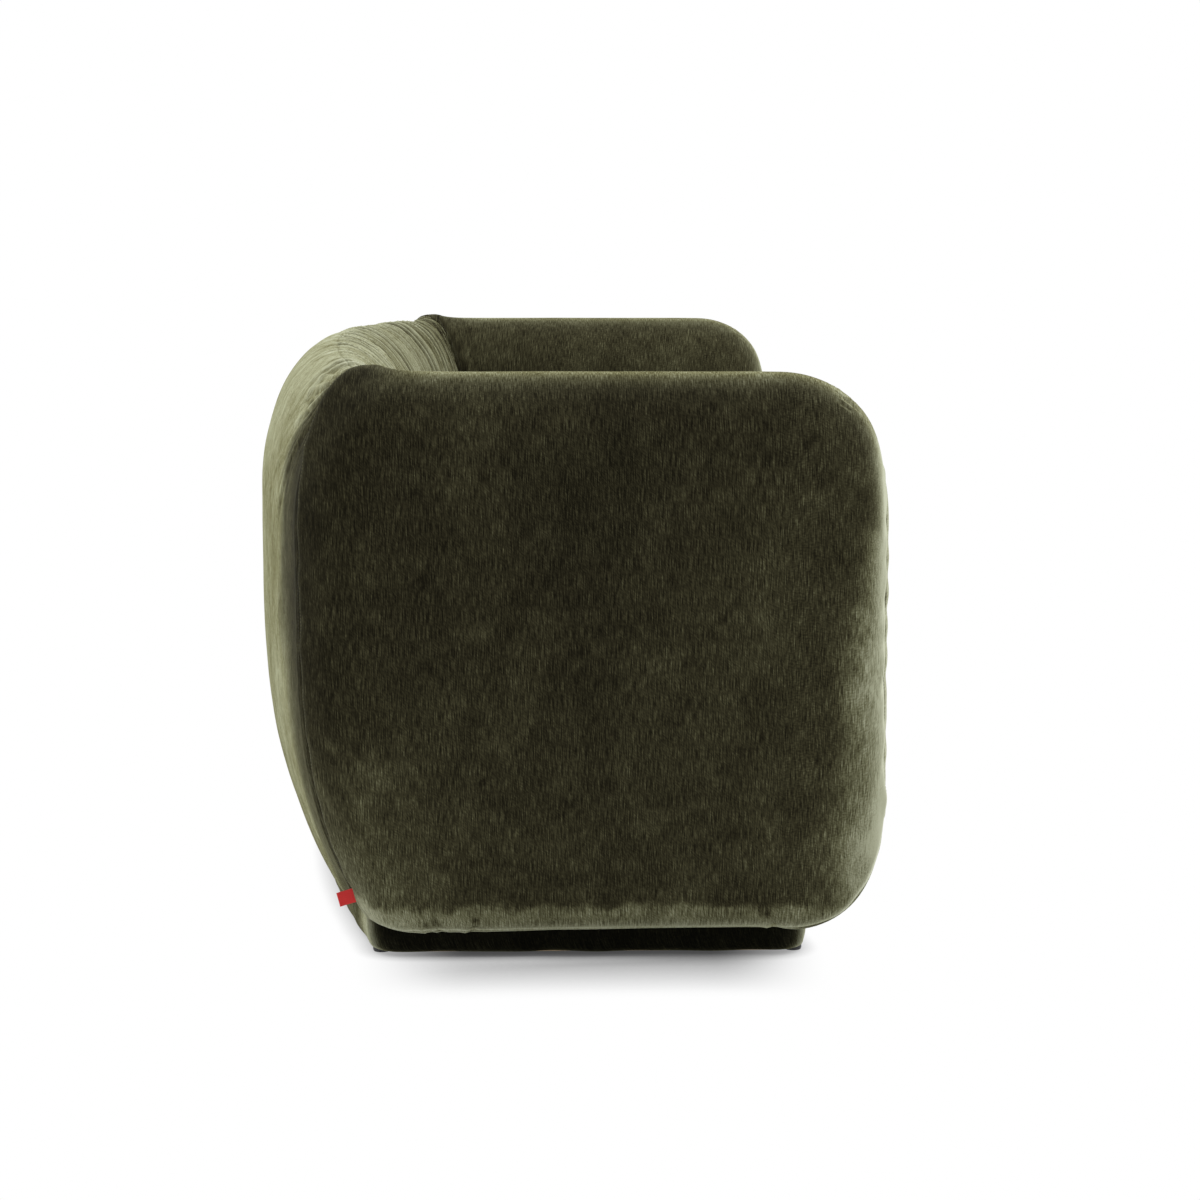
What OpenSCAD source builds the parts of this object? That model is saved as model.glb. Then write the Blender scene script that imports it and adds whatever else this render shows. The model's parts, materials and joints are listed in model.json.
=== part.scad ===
// Curved three-seat sofa: two pillow-like arms and an arched back on a low
// upholstered plinth, with one loose crescent seat cushion.
// The frame: X along the width, the front faces -Y, +Z up, floor at z = 0,
// origin under the middle of the whole sofa. All sizes in millimetres.

/* [Overall] */
// Width over both arms
sofa_w = 2200; // [1960:10:2500]
// Depth from the arm fronts to the middle of the back
sofa_d = 896; // [880:4:960]
// Height of the arms
arm_h = 776; // [740:4:790]
// Height of the back's crest at its middle
back_h = 793; // [790:3:850]
// Height of the body's underside above the floor
body_z = 52; // [48:1:62]

/* [Arms] */
// Thickness of an arm between its flat faces
arm_t = 200; // [192:2:240]
// How far the arm's front top corner rounds back
arm_front_r = 135; // [120:5:160]
// Height over which the arm's front top corner rounds
arm_front_rise = 132; // [110:2:170]
// Radius of the arm's front bottom corner
arm_toe_r = 120; // [90:5:130]
// Height over which the arm's top edges round
arm_round = 112; // [100:2:130]
// Rounding of the arm's front edges, seen from above
arm_edge_r = 44; // [30:2:46]
// How far the arm's outside draws in at its foot
arm_tuck = 52; // [30:2:54]
// Crown of the arm's front panel
front_crown = 8; // [4:1:14]

/* [Back] */
// How far the back's outside bows out between its corners
back_bow = 133; // [110:2:145]
// How far the back's inside bows out between its corners
inner_bow = 44; // [30:2:60]
// Thickness of the back at its crest, at the middle
back_t = 242; // [238:1:262]
// Height over which the back's top rounds
back_round = 205; // [180:5:220]
// How far the back's outside draws in at its foot
back_tuck = 80; // [60:2:84]
// How far the back's inside leans forward at its foot
back_lean = 55; // [30:5:60]
// Radius of the rear corners, seen from above
corner_r = 64; // [54:2:76]

/* [Padding] */
// Thickness of the upholstery fabric with its backing
cover_t = 2.5; // [2:0.5:4]
// Thickness of the foam wrapped over the frames
foam_t = 44; // [40:1:48]
// Gap between soft pieces and what they rest on
soft_gap = 0.3; // [0.2:0.1:1]

/* [Plinth] */
// Height of the plinth's underside above the floor
glide_h = 8; // [6:1:12]
// How far the plinth stands in from the arm's outer face
plinth_in_side = 110; // [100:2:120]
// How far the plinth stands in from the arm fronts
plinth_in_front = 92; // [80:2:120]
// How far the plinth stands in from the foot of the back
plinth_in_back = 10; // [4:1:20]
// Thickness of the plinth boards
plinth_board = 25; // [18:1:28]
// Radius of the plinth's corners
plinth_r = 44; // [30:1:50]
// Diameter of a glide
glide_d = 24; // [18:1:34]

/* [Seat] */
// Thickness of the seat cushion at its border
cushion_t = 128; // [110:2:160]
// Crown of the seat cushion above its border
cushion_crown = 20; // [10:1:30]
// Radius of the cushion's corners in plan
cushion_r = 110; // [90:5:130]
// Gap between the cushion and the arms and back
cushion_gap = 6; // [4:1:12]
// How far the seat's front edge is set behind the arm fronts
seat_set = 34; // [24:2:50]
// Gap between the seat frame and the arm covers
seat_side_gap = 16; // [15:1:20]
// How far the seat's front edge curves back at the middle
seat_bow = 88; // [50:2:100]
// Height of the deck under the cushion
deck_z = 284; // [270:2:300]
// Thickness of the deck's foam pad
deck_pad_t = 24; // [16:2:30]
// Thickness of the apron's padding
apron_pad = 30; // [20:1:40]

/* [Frame] */
// Thickness of the plywood ribs
rib_t = 18; // [12:1:24]
// Thickness of the solid rails
rail_t = 22; // [18:1:28]
// Height of the lengthwise rails inside arms and back
rail_h = 60; // [40:5:80]
// Diameter of the spring wire
wire_d = 3.8; // [3:0.2:5]
// Distance from one bar of a spring to the next
loop_pitch = 30; // [24:1:40]
// Width of a spring over its loops
spring_w = 50; // [40:1:60]
// Number of seat springs
spring_n = 9; // [7:1:11]
// Diameter of the frame bolts
bolt_d = 8; // [6:1:10]

/* [Trim] */
// Side of the woven tab in the rear seam
tab_w = 16; // [10:1:24]
// Thickness of the tab
tab_t = 1.2; // [0.8:0.1:2]
// Height of the tab above the floor
tab_z = 96; // [86:2:140]
// Width of a zip tape
zip_w = 22; // [16:1:28]

/* [Hidden] */

// Colours of the real materials
olive = [0.24, 0.24, 0.16];
olive_dark = [0.12, 0.12, 0.08];
timber = [0.76, 0.62, 0.42];
plywood = [0.80, 0.68, 0.48];
foam_cream = [0.90, 0.86, 0.70];
steel = [0.62, 0.63, 0.64];
black = [0.05, 0.05, 0.05];
webbing_grey = [0.55, 0.54, 0.50];
tab_red = [0.72, 0.06, 0.07];

// Places worked out from the driving sizes
y_front = -sofa_d / 2;
y_back = sofa_d / 2;
x_out = sofa_w / 2;
x_in = x_out - arm_t;
y_seam_front = y_front + front_crown;
corner_turn = 70;
x_corner = x_out - corner_r + corner_r * cos(corner_turn);
y_corner = y_back - back_bow;
y_turn = y_corner - corner_r * sin(corner_turn);
y_in_mid = y_back - back_t;
y_in_corner = y_in_mid - inner_bow;
arm_roundness = 2.4;
back_roundness = 1.9;
tuck_power = 2.5;
full_share = 0.73;
corner_lean = 25;
corner_tuck = back_tuck * 1.45;
arm_front_top = arm_h - arm_front_rise;

// Counts that set how finely the soft forms are divided
n_low = 5;
n_top = 8;
n_ring = n_low + n_top + n_low;
n_crest = n_low + n_top / 2;
n_front = 5;
n_straight = 5;
n_turn = 3;
n_arm = n_front + n_straight + n_turn;
n_back = 18;
n_across = 4;
round_fn = 32;

function mix(a, b, t) = a + (b - a) * t;
function unit(v) = v / norm(v);
function bow(x, y_mid, sag, half) = y_mid - sag * pow(x / half, 2);
function quarter(s) = sqrt(max(0, 1 - pow(1 - s, 2)));

// One point of a section through the padded body. Index j runs from the foot
// of the outside (0) over the crest to the foot of the inside (n_ring).
// Returned is the distance from the outer face and the height.
function section(j, thick, tuck, lean, top, foot, high, roundness, inset) =
    let (
        z_side = top - high,
        z_full = mix(foot, z_side, full_share)
    )
    j < n_low
        ? let (z = mix(foot, z_side, pow(j / n_low, 1.2)))
            [inset + tuck * pow(max(0, (z_full - z) / (z_full - foot)), tuck_power), z]
    : j <= n_low + n_top
        ? let (
            turn = 180 * (j - n_low) / n_top,
            across = sign(cos(turn)) * pow(abs(cos(turn)), 2 / roundness)
        )
            [inset + (thick / 2 - inset) * (1 - across),
             z_side + (high - inset) * pow(abs(sin(turn)), 2 / roundness)]
    : let (s = (j - n_low - n_top) / n_low)
        [thick - inset + lean * s, mix(z_side, foot, s)];

// A section point placed between an outer and an inner plan point
function placed(outer, inner, dz) =
    let (way = unit(inner - outer))
    [outer.x + way.x * dz[0], outer.y + way.y * dz[0], dz[1]];

// Plan points of the right arm at station k, for a surface set in by inset
function arm_y(k, inset) =
    k <= n_front
        ? y_seam_front + inset + (arm_front_r - inset) * (1 - cos(90 * k / n_front))
    : k <= n_front + n_straight
        ? mix(y_seam_front + arm_front_r, y_turn, (k - n_front) / n_straight)
    : y_turn + corner_r * sin(corner_turn * (k - n_front - n_straight) / n_turn);
function arm_edge(y) = arm_edge_r * (1 - quarter(min(1, (y - y_seam_front) / arm_edge_r)));
function arm_outer(k, inset) =
    let (y = arm_y(k, inset), over = k - n_front - n_straight)
    [over > 0 ? x_out - corner_r + corner_r * cos(corner_turn * over / n_turn)
        : x_out - arm_edge(y - inset), y];
function arm_inner(k, inset) =
    let (y = arm_y(k, inset), t = max(0, (k - n_front) / (n_arm - n_front)))
    [x_in + arm_edge(y - inset), k <= n_front ? y : mix(y_seam_front + arm_front_r, y_in_corner, t)];
function arm_top(k) = k >= n_front ? arm_h
    : arm_front_top + arm_front_rise * sin(90 * k / n_front);
function arm_foot(k, inset) =
    body_z + (k < n_front ? inset + arm_toe_r * 1.2
        * (1 - quarter(min(1, (arm_y(k, 0) - y_seam_front) / arm_toe_r))) : 0);
function arm_point(k, j, inset) =
    let (
        outer = arm_outer(k, inset),
        inner = arm_inner(k, inset),
        t = max(0, (k - n_front) / (n_arm - n_front))
    )
    placed(outer, inner, section(j, norm(inner - outer),
        mix(arm_tuck * min(1, k / n_front), corner_tuck, pow(t, 2)),
        corner_lean * pow(t, 3), arm_top(k), arm_foot(k, inset),
        mix(arm_round, back_round, pow(t, 2)),
        mix(arm_roundness, back_roundness, pow(t, 2)), inset));

// Plan points of the back at station i, from the left corner to the right
function back_side(i) = 2 * i / n_back - 1;
function back_outer(i) =
    let (x = x_corner * back_side(i))
    [x, bow(x, y_back, back_bow, x_corner)];
function back_inner(i) =
    let (x = x_in * back_side(i))
    [x, bow(x, y_in_mid, inner_bow, x_in)];
function back_top(i) = mix(back_h, arm_h, pow(back_side(i), 2));
function back_point(i, j, inset) =
    let (
        outer = back_outer(i),
        inner = back_inner(i),
        s = pow(back_side(i), 2)
    )
    placed(outer, inner, section(j, norm(inner - outer),
        mix(back_tuck, corner_tuck, pow(s, 4)),
        mix(back_lean, corner_lean, s), back_top(i), body_z, back_round,
        back_roundness, inset));

// A closed sheet between two grids of points of the same size. Up to row
// turned its side walls are split along the other diagonal, so that they meet
// the walls of the sheet beside them face to face.
module sheet(over, under, turned = 0) {
    rows = len(over);
    cols = len(over[0]);
    count = rows * cols;
    points = [for (row = over) each row, for (row = under) each row];
    function at(r, c) = r * cols + c;
    faces = [
        for (r = [0 : rows - 2], c = [0 : cols - 2]) each [
            [at(r, c), at(r + 1, c + 1), at(r + 1, c)],
            [at(r, c), at(r, c + 1), at(r + 1, c + 1)],
            [count + at(r, c), count + at(r + 1, c), count + at(r + 1, c + 1)],
            [count + at(r, c), count + at(r + 1, c + 1), count + at(r, c + 1)]
        ],
        for (r = [0 : rows - 2]) each r < turned ? [
            [at(r, 0), at(r + 1, 0), count + at(r + 1, 0)],
            [at(r, 0), count + at(r + 1, 0), count + at(r, 0)],
            [at(r + 1, cols - 1), at(r, cols - 1), count + at(r, cols - 1)],
            [at(r + 1, cols - 1), count + at(r, cols - 1), count + at(r + 1, cols - 1)]
        ] : [
            [at(r, 0), at(r + 1, 0), count + at(r, 0)],
            [at(r + 1, 0), count + at(r + 1, 0), count + at(r, 0)],
            [at(r + 1, cols - 1), at(r, cols - 1), count + at(r + 1, cols - 1)],
            [at(r, cols - 1), count + at(r, cols - 1), count + at(r + 1, cols - 1)]
        ],
        for (c = [0 : cols - 2]) each [
            [at(0, c + 1), at(0, c), count + at(0, c)],
            [at(0, c + 1), count + at(0, c), count + at(0, c + 1)],
            [at(rows - 1, c), at(rows - 1, c + 1), count + at(rows - 1, c + 1)],
            [at(rows - 1, c), count + at(rows - 1, c + 1), count + at(rows - 1, c)]
        ]
    ];
    polyhedron(points, faces, convexity = 6);
}

// A board that follows a bowed line in plan between two offsets
module bowed_board(half, y_mid, sag, thick, z, high, steps = 16) {
    translate([0, 0, z])
        linear_extrude(high)
            polygon([
                for (i = [0 : steps])
                    let (x = mix(-half, half, i / steps)) [x, bow(x, y_mid, sag, half)],
                for (i = [steps : -1 : 0])
                    let (x = mix(-half, half, i / steps)) [x, bow(x, y_mid, sag, half) + thick]
            ]);
}

module both_sides() {
    children();
    mirror([1, 0, 0]) children();
}

// Arm padding and covers, drawn for the right arm. The last row stops short of
// the corner by the share short of a step.
function arm_row(k, inset, short) = [for (j = [0 : n_ring])
    k < n_arm ? arm_point(k, j, inset)
        : mix(arm_point(k, j, inset), arm_point(k - 1, j, inset), short)];
module arm_sheet(inset_a, inset_b, short = 0) {
    sheet([for (k = [0 : n_arm]) arm_row(k, inset_a, short)],
          [for (k = [0 : n_arm]) arm_row(k, inset_b, short)]);
}

// The arm's front panel: it starts under the toe and runs up to the crest
n_toe = 4;
toe_swell = [1, 0.8, 0.4, 0, 0];
tip_draw = 0.98;
pad_clear = 0.03;
function front_point(row, c, inset) =
    let (
        k = max(0, n_toe - row),
        j = max(0, row - n_toe),
        s = c / n_across,
        tip = arm_point(0, n_crest, inset),
        a = arm_point(k, min(j, n_crest - 1), inset),
        b = arm_point(k, max(n_ring - j, n_crest + 1), inset),
        near_tip = j == n_crest ? tip_draw : 0,
        swell = front_crown * (1 - pow(2 * s - 1, 2)) * toe_swell[k]
            * quarter(min(1, 2 * (1 - j / n_crest))),
        lie = 90 * k / n_toe
    )
    mix(mix(a, tip, near_tip), mix(b, tip, near_tip), s) - swell * [0, cos(lie), sin(lie)];
// One row of the panel, drawn in at both ends by the share clear of a step
function front_row(row, inset, clear) =
    let (p = [for (c = [0 : n_across]) front_point(row, c, inset)])
    [mix(p[0], p[1], clear), for (c = [1 : n_across - 1]) p[c],
     mix(p[n_across], p[n_across - 1], clear)];
module front_sheet(inset_a, inset_b, clear = 0) {
    rows = [0 : n_toe + n_crest];
    sheet([for (row = rows) front_row(row, inset_a, clear)],
          [for (row = rows) front_row(row, inset_b, clear)], n_toe);
}

foam_face = cover_t + foam_t;
foam_short = 0;

module arm_cover_right() {
    color(olive) arm_sheet(0, cover_t);
}
module arm_cover_left() {
    mirror([1, 0, 0]) arm_cover_right();
}
module arm_front_right() {
    color(olive) front_sheet(0, cover_t);
}
module arm_front_left() {
    mirror([1, 0, 0]) arm_front_right();
}
module arm_foam_right() {
    color(foam_cream) arm_sheet(cover_t, foam_face, foam_short);
}
module arm_foam_left() {
    mirror([1, 0, 0]) arm_foam_right();
}
module arm_front_pad_right() {
    color(foam_cream) front_sheet(cover_t + soft_gap, foam_face, pad_clear);
}
module arm_front_pad_left() {
    mirror([1, 0, 0]) arm_front_pad_right();
}

module back_sheet(i_from, i_to, j_from, j_to, inset_a, inset_b) {
    sheet([for (i = [i_to : -1 : i_from]) [for (j = [j_from : j_to]) back_point(i, j, inset_a)]],
          [for (i = [i_to : -1 : i_from]) [for (j = [j_from : j_to]) back_point(i, j, inset_b)]]);
}
module outside_back_cover() {
    color(olive) back_sheet(0, n_back, 0, n_crest, 0, cover_t);
}
module inside_back_cover() {
    color(olive) back_sheet(0, n_back, n_crest, n_ring, 0, cover_t);
}
module back_foam() {
    color(foam_cream) back_sheet(0, n_back, 0, n_ring, cover_t, foam_face);
}

// The plinth's outline, set in by inset all round
x_plinth = x_out - plinth_in_side;
y_plinth_front = y_front + plinth_in_front;
y_plinth_back = y_back - back_tuck - plinth_in_back;
function plinth_front_y(x, inset) =
    bow(x, y_plinth_front + seat_bow + inset, seat_bow, x_plinth);
function plinth_back_y(x, inset) =
    bow(x, y_plinth_back - inset, back_bow, x_plinth);
function plinth_half(inset) =
    let (r = max(3, plinth_r - inset), half = x_plinth - inset, flat = half - r)
    concat(
        [for (i = [0 : 6]) let (x = flat * i / 6) [x, plinth_front_y(x, inset)]],
        [for (a = [-70 : 17.5 : 0])
            [flat + r * cos(a), plinth_front_y(flat, inset) + r + r * sin(a)]],
        [for (a = [0 : 17.5 : 70])
            [flat + r * cos(a), plinth_back_y(flat, inset) - r + r * sin(a)]],
        [for (i = [8 : -1 : 0]) let (x = flat * i / 8) [x, plinth_back_y(x, inset)]]
    );
module plinth_shape(inset) {
    half = plinth_half(inset);
    polygon(concat(half, [for (i = [len(half) - 2 : -1 : 1]) [-half[i].x, half[i].y]]));
}

// Places of the glides, on the centre line of the plinth boards
board_mid = cover_t + plinth_board / 2;
x_glide = x_plinth - plinth_r * 0.9;
glide_spots = [for (x = [-x_glide, 0, x_glide]) each
    [[x, plinth_front_y(x, board_mid)], [x, plinth_back_y(x, board_mid)]]];
stud_d = glide_d / 4;
stud_top = glide_h + plinth_board;
stud_foot = glide_h / 2;
hole_gap = 0.2;

// Places of the bolts that hold arms, back and seat to the plinth
x_arm_rail = x_in + arm_t / 2 - arm_tuck / 2;
x_cross = (x_in - seat_side_gap) / 3;
x_bolt = min(x_arm_rail + rail_t / 4, x_plinth - board_mid);
rail_bow = inner_bow * 0.82;
back_rail_in = rail_t * 1.45;
y_back_rail = y_in_mid - back_lean + foam_face + back_rail_in;
arm_rail_low_front = y_seam_front + arm_front_r;
arm_rail_low_back = y_in_corner - rail_h / 2;
arm_bolt_shares = [0.24, 0.82];
seat_bolt_share = 0.17;
arm_bolt_y = [for (share = arm_bolt_shares) mix(arm_rail_low_front, arm_rail_low_back, share)];
seat_bolt_y = mix(plinth_front_y(x_cross, 0), plinth_back_y(x_cross, 0), seat_bolt_share);
back_bolt_y = bow(x_cross, y_back_rail, rail_bow, x_in) + rail_t / 2;
bolt_spots = [for (side = [-1, 1]) each
    [[side * x_bolt, arm_bolt_y[0]], [side * x_bolt, arm_bolt_y[1]],
     [side * x_cross, seat_bolt_y], [side * x_cross, back_bolt_y]]];
bolt_grip = rail_h * 0.56;
head_d = bolt_d * 1.6;
head_h = bolt_d * 0.65;
bolt_z = glide_h + head_h * 1.8;

module bolt_holes() {
    for (spot = bolt_spots)
        translate([spot.x, spot.y, 0]) {
            cylinder(h = body_z + bolt_grip, d = bolt_d + 2 * hole_gap, $fn = round_fn);
            cylinder(h = bolt_z + hole_gap, d = head_d + 2, $fn = round_fn);
        }
}
module stud_holes() {
    for (spot = glide_spots)
        translate([spot.x, spot.y, stud_foot])
            cylinder(h = stud_top - stud_foot + hole_gap, d = stud_d + 2 * hole_gap, $fn = round_fn);
}

module glides() {
    color(black)
        difference() {
            for (spot = glide_spots)
                translate([spot.x, spot.y, 0]) {
                    cylinder(h = glide_h / 4, d1 = glide_d - 2, d2 = glide_d, $fn = round_fn);
                    translate([0, 0, glide_h / 4])
                        cylinder(h = glide_h * 3 / 4, d = glide_d, $fn = round_fn);
                }
            stud_holes();
        }
}
module glide_screws() {
    color(steel)
        for (spot = glide_spots)
            translate([spot.x, spot.y, stud_foot])
                cylinder(h = stud_top - stud_foot, d = stud_d, $fn = round_fn);
}
module plinth_frame() {
    color(timber)
        difference() {
            translate([0, 0, glide_h])
                linear_extrude(body_z - glide_h)
                    difference() {
                        plinth_shape(cover_t);
                        difference() {
                            plinth_shape(cover_t + plinth_board);
                            for (x = [-x_cross, 0, x_cross])
                                translate([x - plinth_board / 2, -sofa_d])
                                    square([plinth_board, 2 * sofa_d]);
                        }
                    }
            stud_holes();
            bolt_holes();
        }
}
module plinth_cover() {
    color(olive_dark)
        translate([0, 0, glide_h])
            linear_extrude(body_z - glide_h)
                difference() {
                    plinth_shape(0);
                    plinth_shape(cover_t);
                }
}
module plinth_bolts() {
    color(steel)
        for (spot = bolt_spots)
            translate([spot.x, spot.y, bolt_z - head_h]) {
                cylinder(h = head_h, d = head_d, $fn = 6);
                translate([0, 0, head_h])
                    cylinder(h = body_z + bolt_grip - bolt_z - 2, d = bolt_d, $fn = round_fn);
            }
}
dust_t = 0.6;
dust_in = 10;
module dust_cover() {
    color(black)
        translate([0, 0, glide_h - dust_t])
            linear_extrude(dust_t)
                difference() {
                    plinth_shape(dust_in);
                    for (spot = glide_spots)
                        translate(spot) circle(d = glide_d + 1, $fn = round_fn);
                }
}

// The seat frame stands on the plinth between the arms
seat_half = x_in - seat_side_gap;
clip_t = 2;
cloth_t = 1.2;
z_rail = deck_z - deck_pad_t - cloth_t - wire_d - clip_t;
apron_depth = cover_t + apron_pad;
y_apron = y_front + seat_set + seat_bow;
y_front_rail = y_apron + apron_depth;
y_rear_rail = y_in_mid - back_lean - rail_t - 6;
rear_bow = inner_bow * 0.62;
module front_rail_plan() {
    polygon(rail_plan(y_front_rail, seat_bow));
}
module rear_rail_plan() {
    polygon(rail_plan(y_rear_rail, rear_bow));
}
function rail_plan(y_mid, sag) = concat(
    [for (i = [-8 : 8]) let (x = seat_half * i / 8) [x, bow(x, y_mid, sag, x_in)]],
    [for (i = [8 : -1 : -8]) let (x = seat_half * i / 8) [x, bow(x, y_mid, sag, x_in) + rail_t]]);
module seat_front_rail() {
    color(plywood) translate([0, 0, body_z]) linear_extrude(z_rail - body_z) front_rail_plan();
}
module seat_rear_rail() {
    color(plywood) translate([0, 0, body_z]) linear_extrude(z_rail - body_z) rear_rail_plan();
}
// A board from the front rail to the rear rail, from x to x + rail_t
module between_rails(x) {
    difference() {
        translate([x, bow(x, y_front_rail, seat_bow, x_in) + rail_t / 2])
            square([rail_t, bow(x, y_rear_rail, rear_bow, x_in)
                - bow(x, y_front_rail, seat_bow, x_in)]);
        front_rail_plan();
        rear_rail_plan();
    }
}
module seat_end_rails() {
    color(plywood)
        both_sides()
            translate([0, 0, body_z])
                linear_extrude(z_rail - body_z)
                    between_rails(seat_half - rail_t);
}
cross_h = 110;
module seat_cross_rails() {
    color(timber)
        difference() {
            for (x = [-x_cross, 0, x_cross])
                translate([0, 0, body_z])
                    linear_extrude(cross_h)
                        between_rails(x - rail_t / 2);
            bolt_holes();
        }
}
block = 60;
module corner_blocks() {
    color(timber)
        both_sides()
            translate([0, 0, z_rail - block])
                linear_extrude(block)
                    difference() {
                        for (end = [[bow(seat_half, y_front_rail, seat_bow, x_in) + rail_t - 4, 1],
                                    [bow(seat_half, y_rear_rail, rear_bow, x_in) + 4, -1]])
                            translate([seat_half - rail_t, end[0]])
                                polygon([[0, 0], [-block, 0], [0, end[1] * block]]);
                        front_rail_plan();
                        rear_rail_plan();
                    }
}

// One spring: a wire in level loops from the front rail to the rear rail
function loop_points(bars, side) = [
    for (k = [0 : bars - 2], i = [0 : 4])
        let (
            hand = k % 2 == 0 ? 1 : -1,
            r = loop_pitch / 2,
            turn = -90 + 45 * i,
            reach = spring_w / 2 - r,
            wide = r + hand * side * wire_d / 2
        )
        [hand * (reach + wide * cos(turn)), loop_pitch * (k + 0.5) + wide * sin(turn)]
];
module spring_shape(bars) {
    polygon(concat(loop_points(bars, -1),
        [for (i = [5 * (bars - 1) - 1 : -1 : 0]) loop_points(bars, 1)[i]]));
}
spring_x = [for (i = [0 : spring_n - 1])
    (2 * (i + 0.5) / spring_n - 1) * (seat_half - rail_t - 10)];
function spring_start(x) = bow(x, y_front_rail, seat_bow, x_in) + rail_t / 2;
function spring_end(x) = bow(x, y_rear_rail, rear_bow, x_in) + rail_t / 2;
function spring_bars(x) = floor((spring_end(x) - spring_start(x)) / loop_pitch) + 1;
module seat_springs() {
    color(steel)
        for (x = spring_x)
            translate([x, spring_start(x) + 2, z_rail + clip_t])
                linear_extrude(wire_d)
                    spring_shape(spring_bars(x));
}
clip_w = 30;
clip_l = 18;
module spring_clips() {
    color(steel)
        for (x = spring_x, y = [spring_start(x), spring_start(x) + 2 + loop_pitch * (spring_bars(x) - 1)])
            translate([x - clip_w / 2, y - clip_l / 2, z_rail])
                cube([clip_w, clip_l, clip_t]);
}
module deck_plan() {
    polygon(concat(
        [for (i = [-8 : 8]) let (x = seat_half * i / 8) [x, bow(x, y_front_rail, seat_bow, x_in)]],
        [for (i = [8 : -1 : -8]) let (x = seat_half * i / 8)
            [x, bow(x, y_rear_rail, rear_bow, x_in) + rail_t]]));
}
module deck_cloth() {
    color(black)
        translate([0, 0, deck_z - deck_pad_t - cloth_t])
            linear_extrude(cloth_t) deck_plan();
}
module deck_pad() {
    color(foam_cream)
        translate([0, 0, deck_z - deck_pad_t])
            linear_extrude(deck_pad_t) deck_plan();
}

// The padded apron under the seat's front edge
n_apron = 18;
tuck_in = 3;
n_rise = 6;
apron_profile = [[0, 0], [-3, 0.27], [-4.5, 0.5], [-3, 0.76], [4, 0.93], [16, 0.987], [1, 1]];
function apron_point(i, j, inset) =
    let (
        x = (x_in - soft_gap) * (2 * i / n_apron - 1),
        p = apron_profile[j],
        dy = j == n_rise ? apron_depth - tuck_in : p[0] + inset,
        lower = j < n_rise - 2 ? 0 : inset * (j - n_rise + 3) / 3
    )
    [x, bow(x, y_apron, seat_bow, x_in) + dy, mix(body_z, deck_z, p[1]) - lower];
function apron_back(i, j) =
    let (x = (x_in - soft_gap) * (2 * i / n_apron - 1))
    [x, bow(x, y_apron, seat_bow, x_in) + apron_depth - 2 * soft_gap,
     mix(body_z, deck_z - 14, j / n_rise)];
module apron_cover() {
    color(olive)
        sheet([for (i = [0 : n_apron]) [for (j = [0 : n_rise]) apron_point(i, j, 0)]],
              [for (i = [0 : n_apron]) [for (j = [0 : n_rise]) apron_point(i, j, cover_t)]]);
}
module apron_foam() {
    color(foam_cream)
        sheet([for (i = [0 : n_apron]) [for (j = [0 : n_rise]) apron_point(i, j, cover_t)]],
              [for (i = [0 : n_apron]) [for (j = [0 : n_rise]) apron_back(i, j)]]);
}

// Timber inside the back: ribs cut to the padded section, notched over rails
rib_gap = 3;
rib_slant = rib_t * 0.25;
rib_inset = foam_face + rib_gap + rib_slant;
rib_stations = [3, 6, 9, 12, 15];
rail_low_z = body_z;
rail_top_z = back_h - back_round - rail_h * 1.25;
y_top_rail = y_back_rail + back_rail_in;
module rib_board(outer, inner, outline, shift = 0) {
    way = inner - outer;
    translate([outer.x, outer.y, 0])
        rotate([0, 0, atan2(way.y, way.x)])
            rotate([90, 0, 0])
                translate([0, 0, -rib_t / 2 + shift])
                    linear_extrude(rib_t)
                        polygon(outline);
}
function back_outline(i) =
    let (
        s = pow(back_side(i), 2),
        wide = norm(back_inner(i) - back_outer(i))
    )
    [for (j = [0 : n_ring]) section(j, wide, mix(back_tuck, corner_tuck, pow(s, 4)),
        mix(back_lean, corner_lean, s), back_top(i), body_z, back_round,
        back_roundness, rib_inset)];
module back_rail_shapes() {
    bowed_board(x_in, y_back_rail, rail_bow, rail_t, rail_low_z, rail_h);
    bowed_board(x_in, y_top_rail, rail_bow, rail_t, rail_top_z, rail_h);
}
module back_rails() {
    color(timber)
        difference() {
            back_rail_shapes();
            bolt_holes();
        }
}
module back_ribs() {
    color(plywood)
        difference() {
            for (i = rib_stations)
                rib_board(back_outer(i), back_inner(i), back_outline(i));
            back_rail_shapes();
        }
}
web_in = foam_face + soft_gap;
web_out = foam_face + rib_gap - soft_gap;
module back_webbing() {
    color(webbing_grey)
        for (j = [n_low + n_top + 1, n_low + n_top + 3])
            back_sheet(2, n_back - 2, j, j + 1, web_in, web_out);
}

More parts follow.
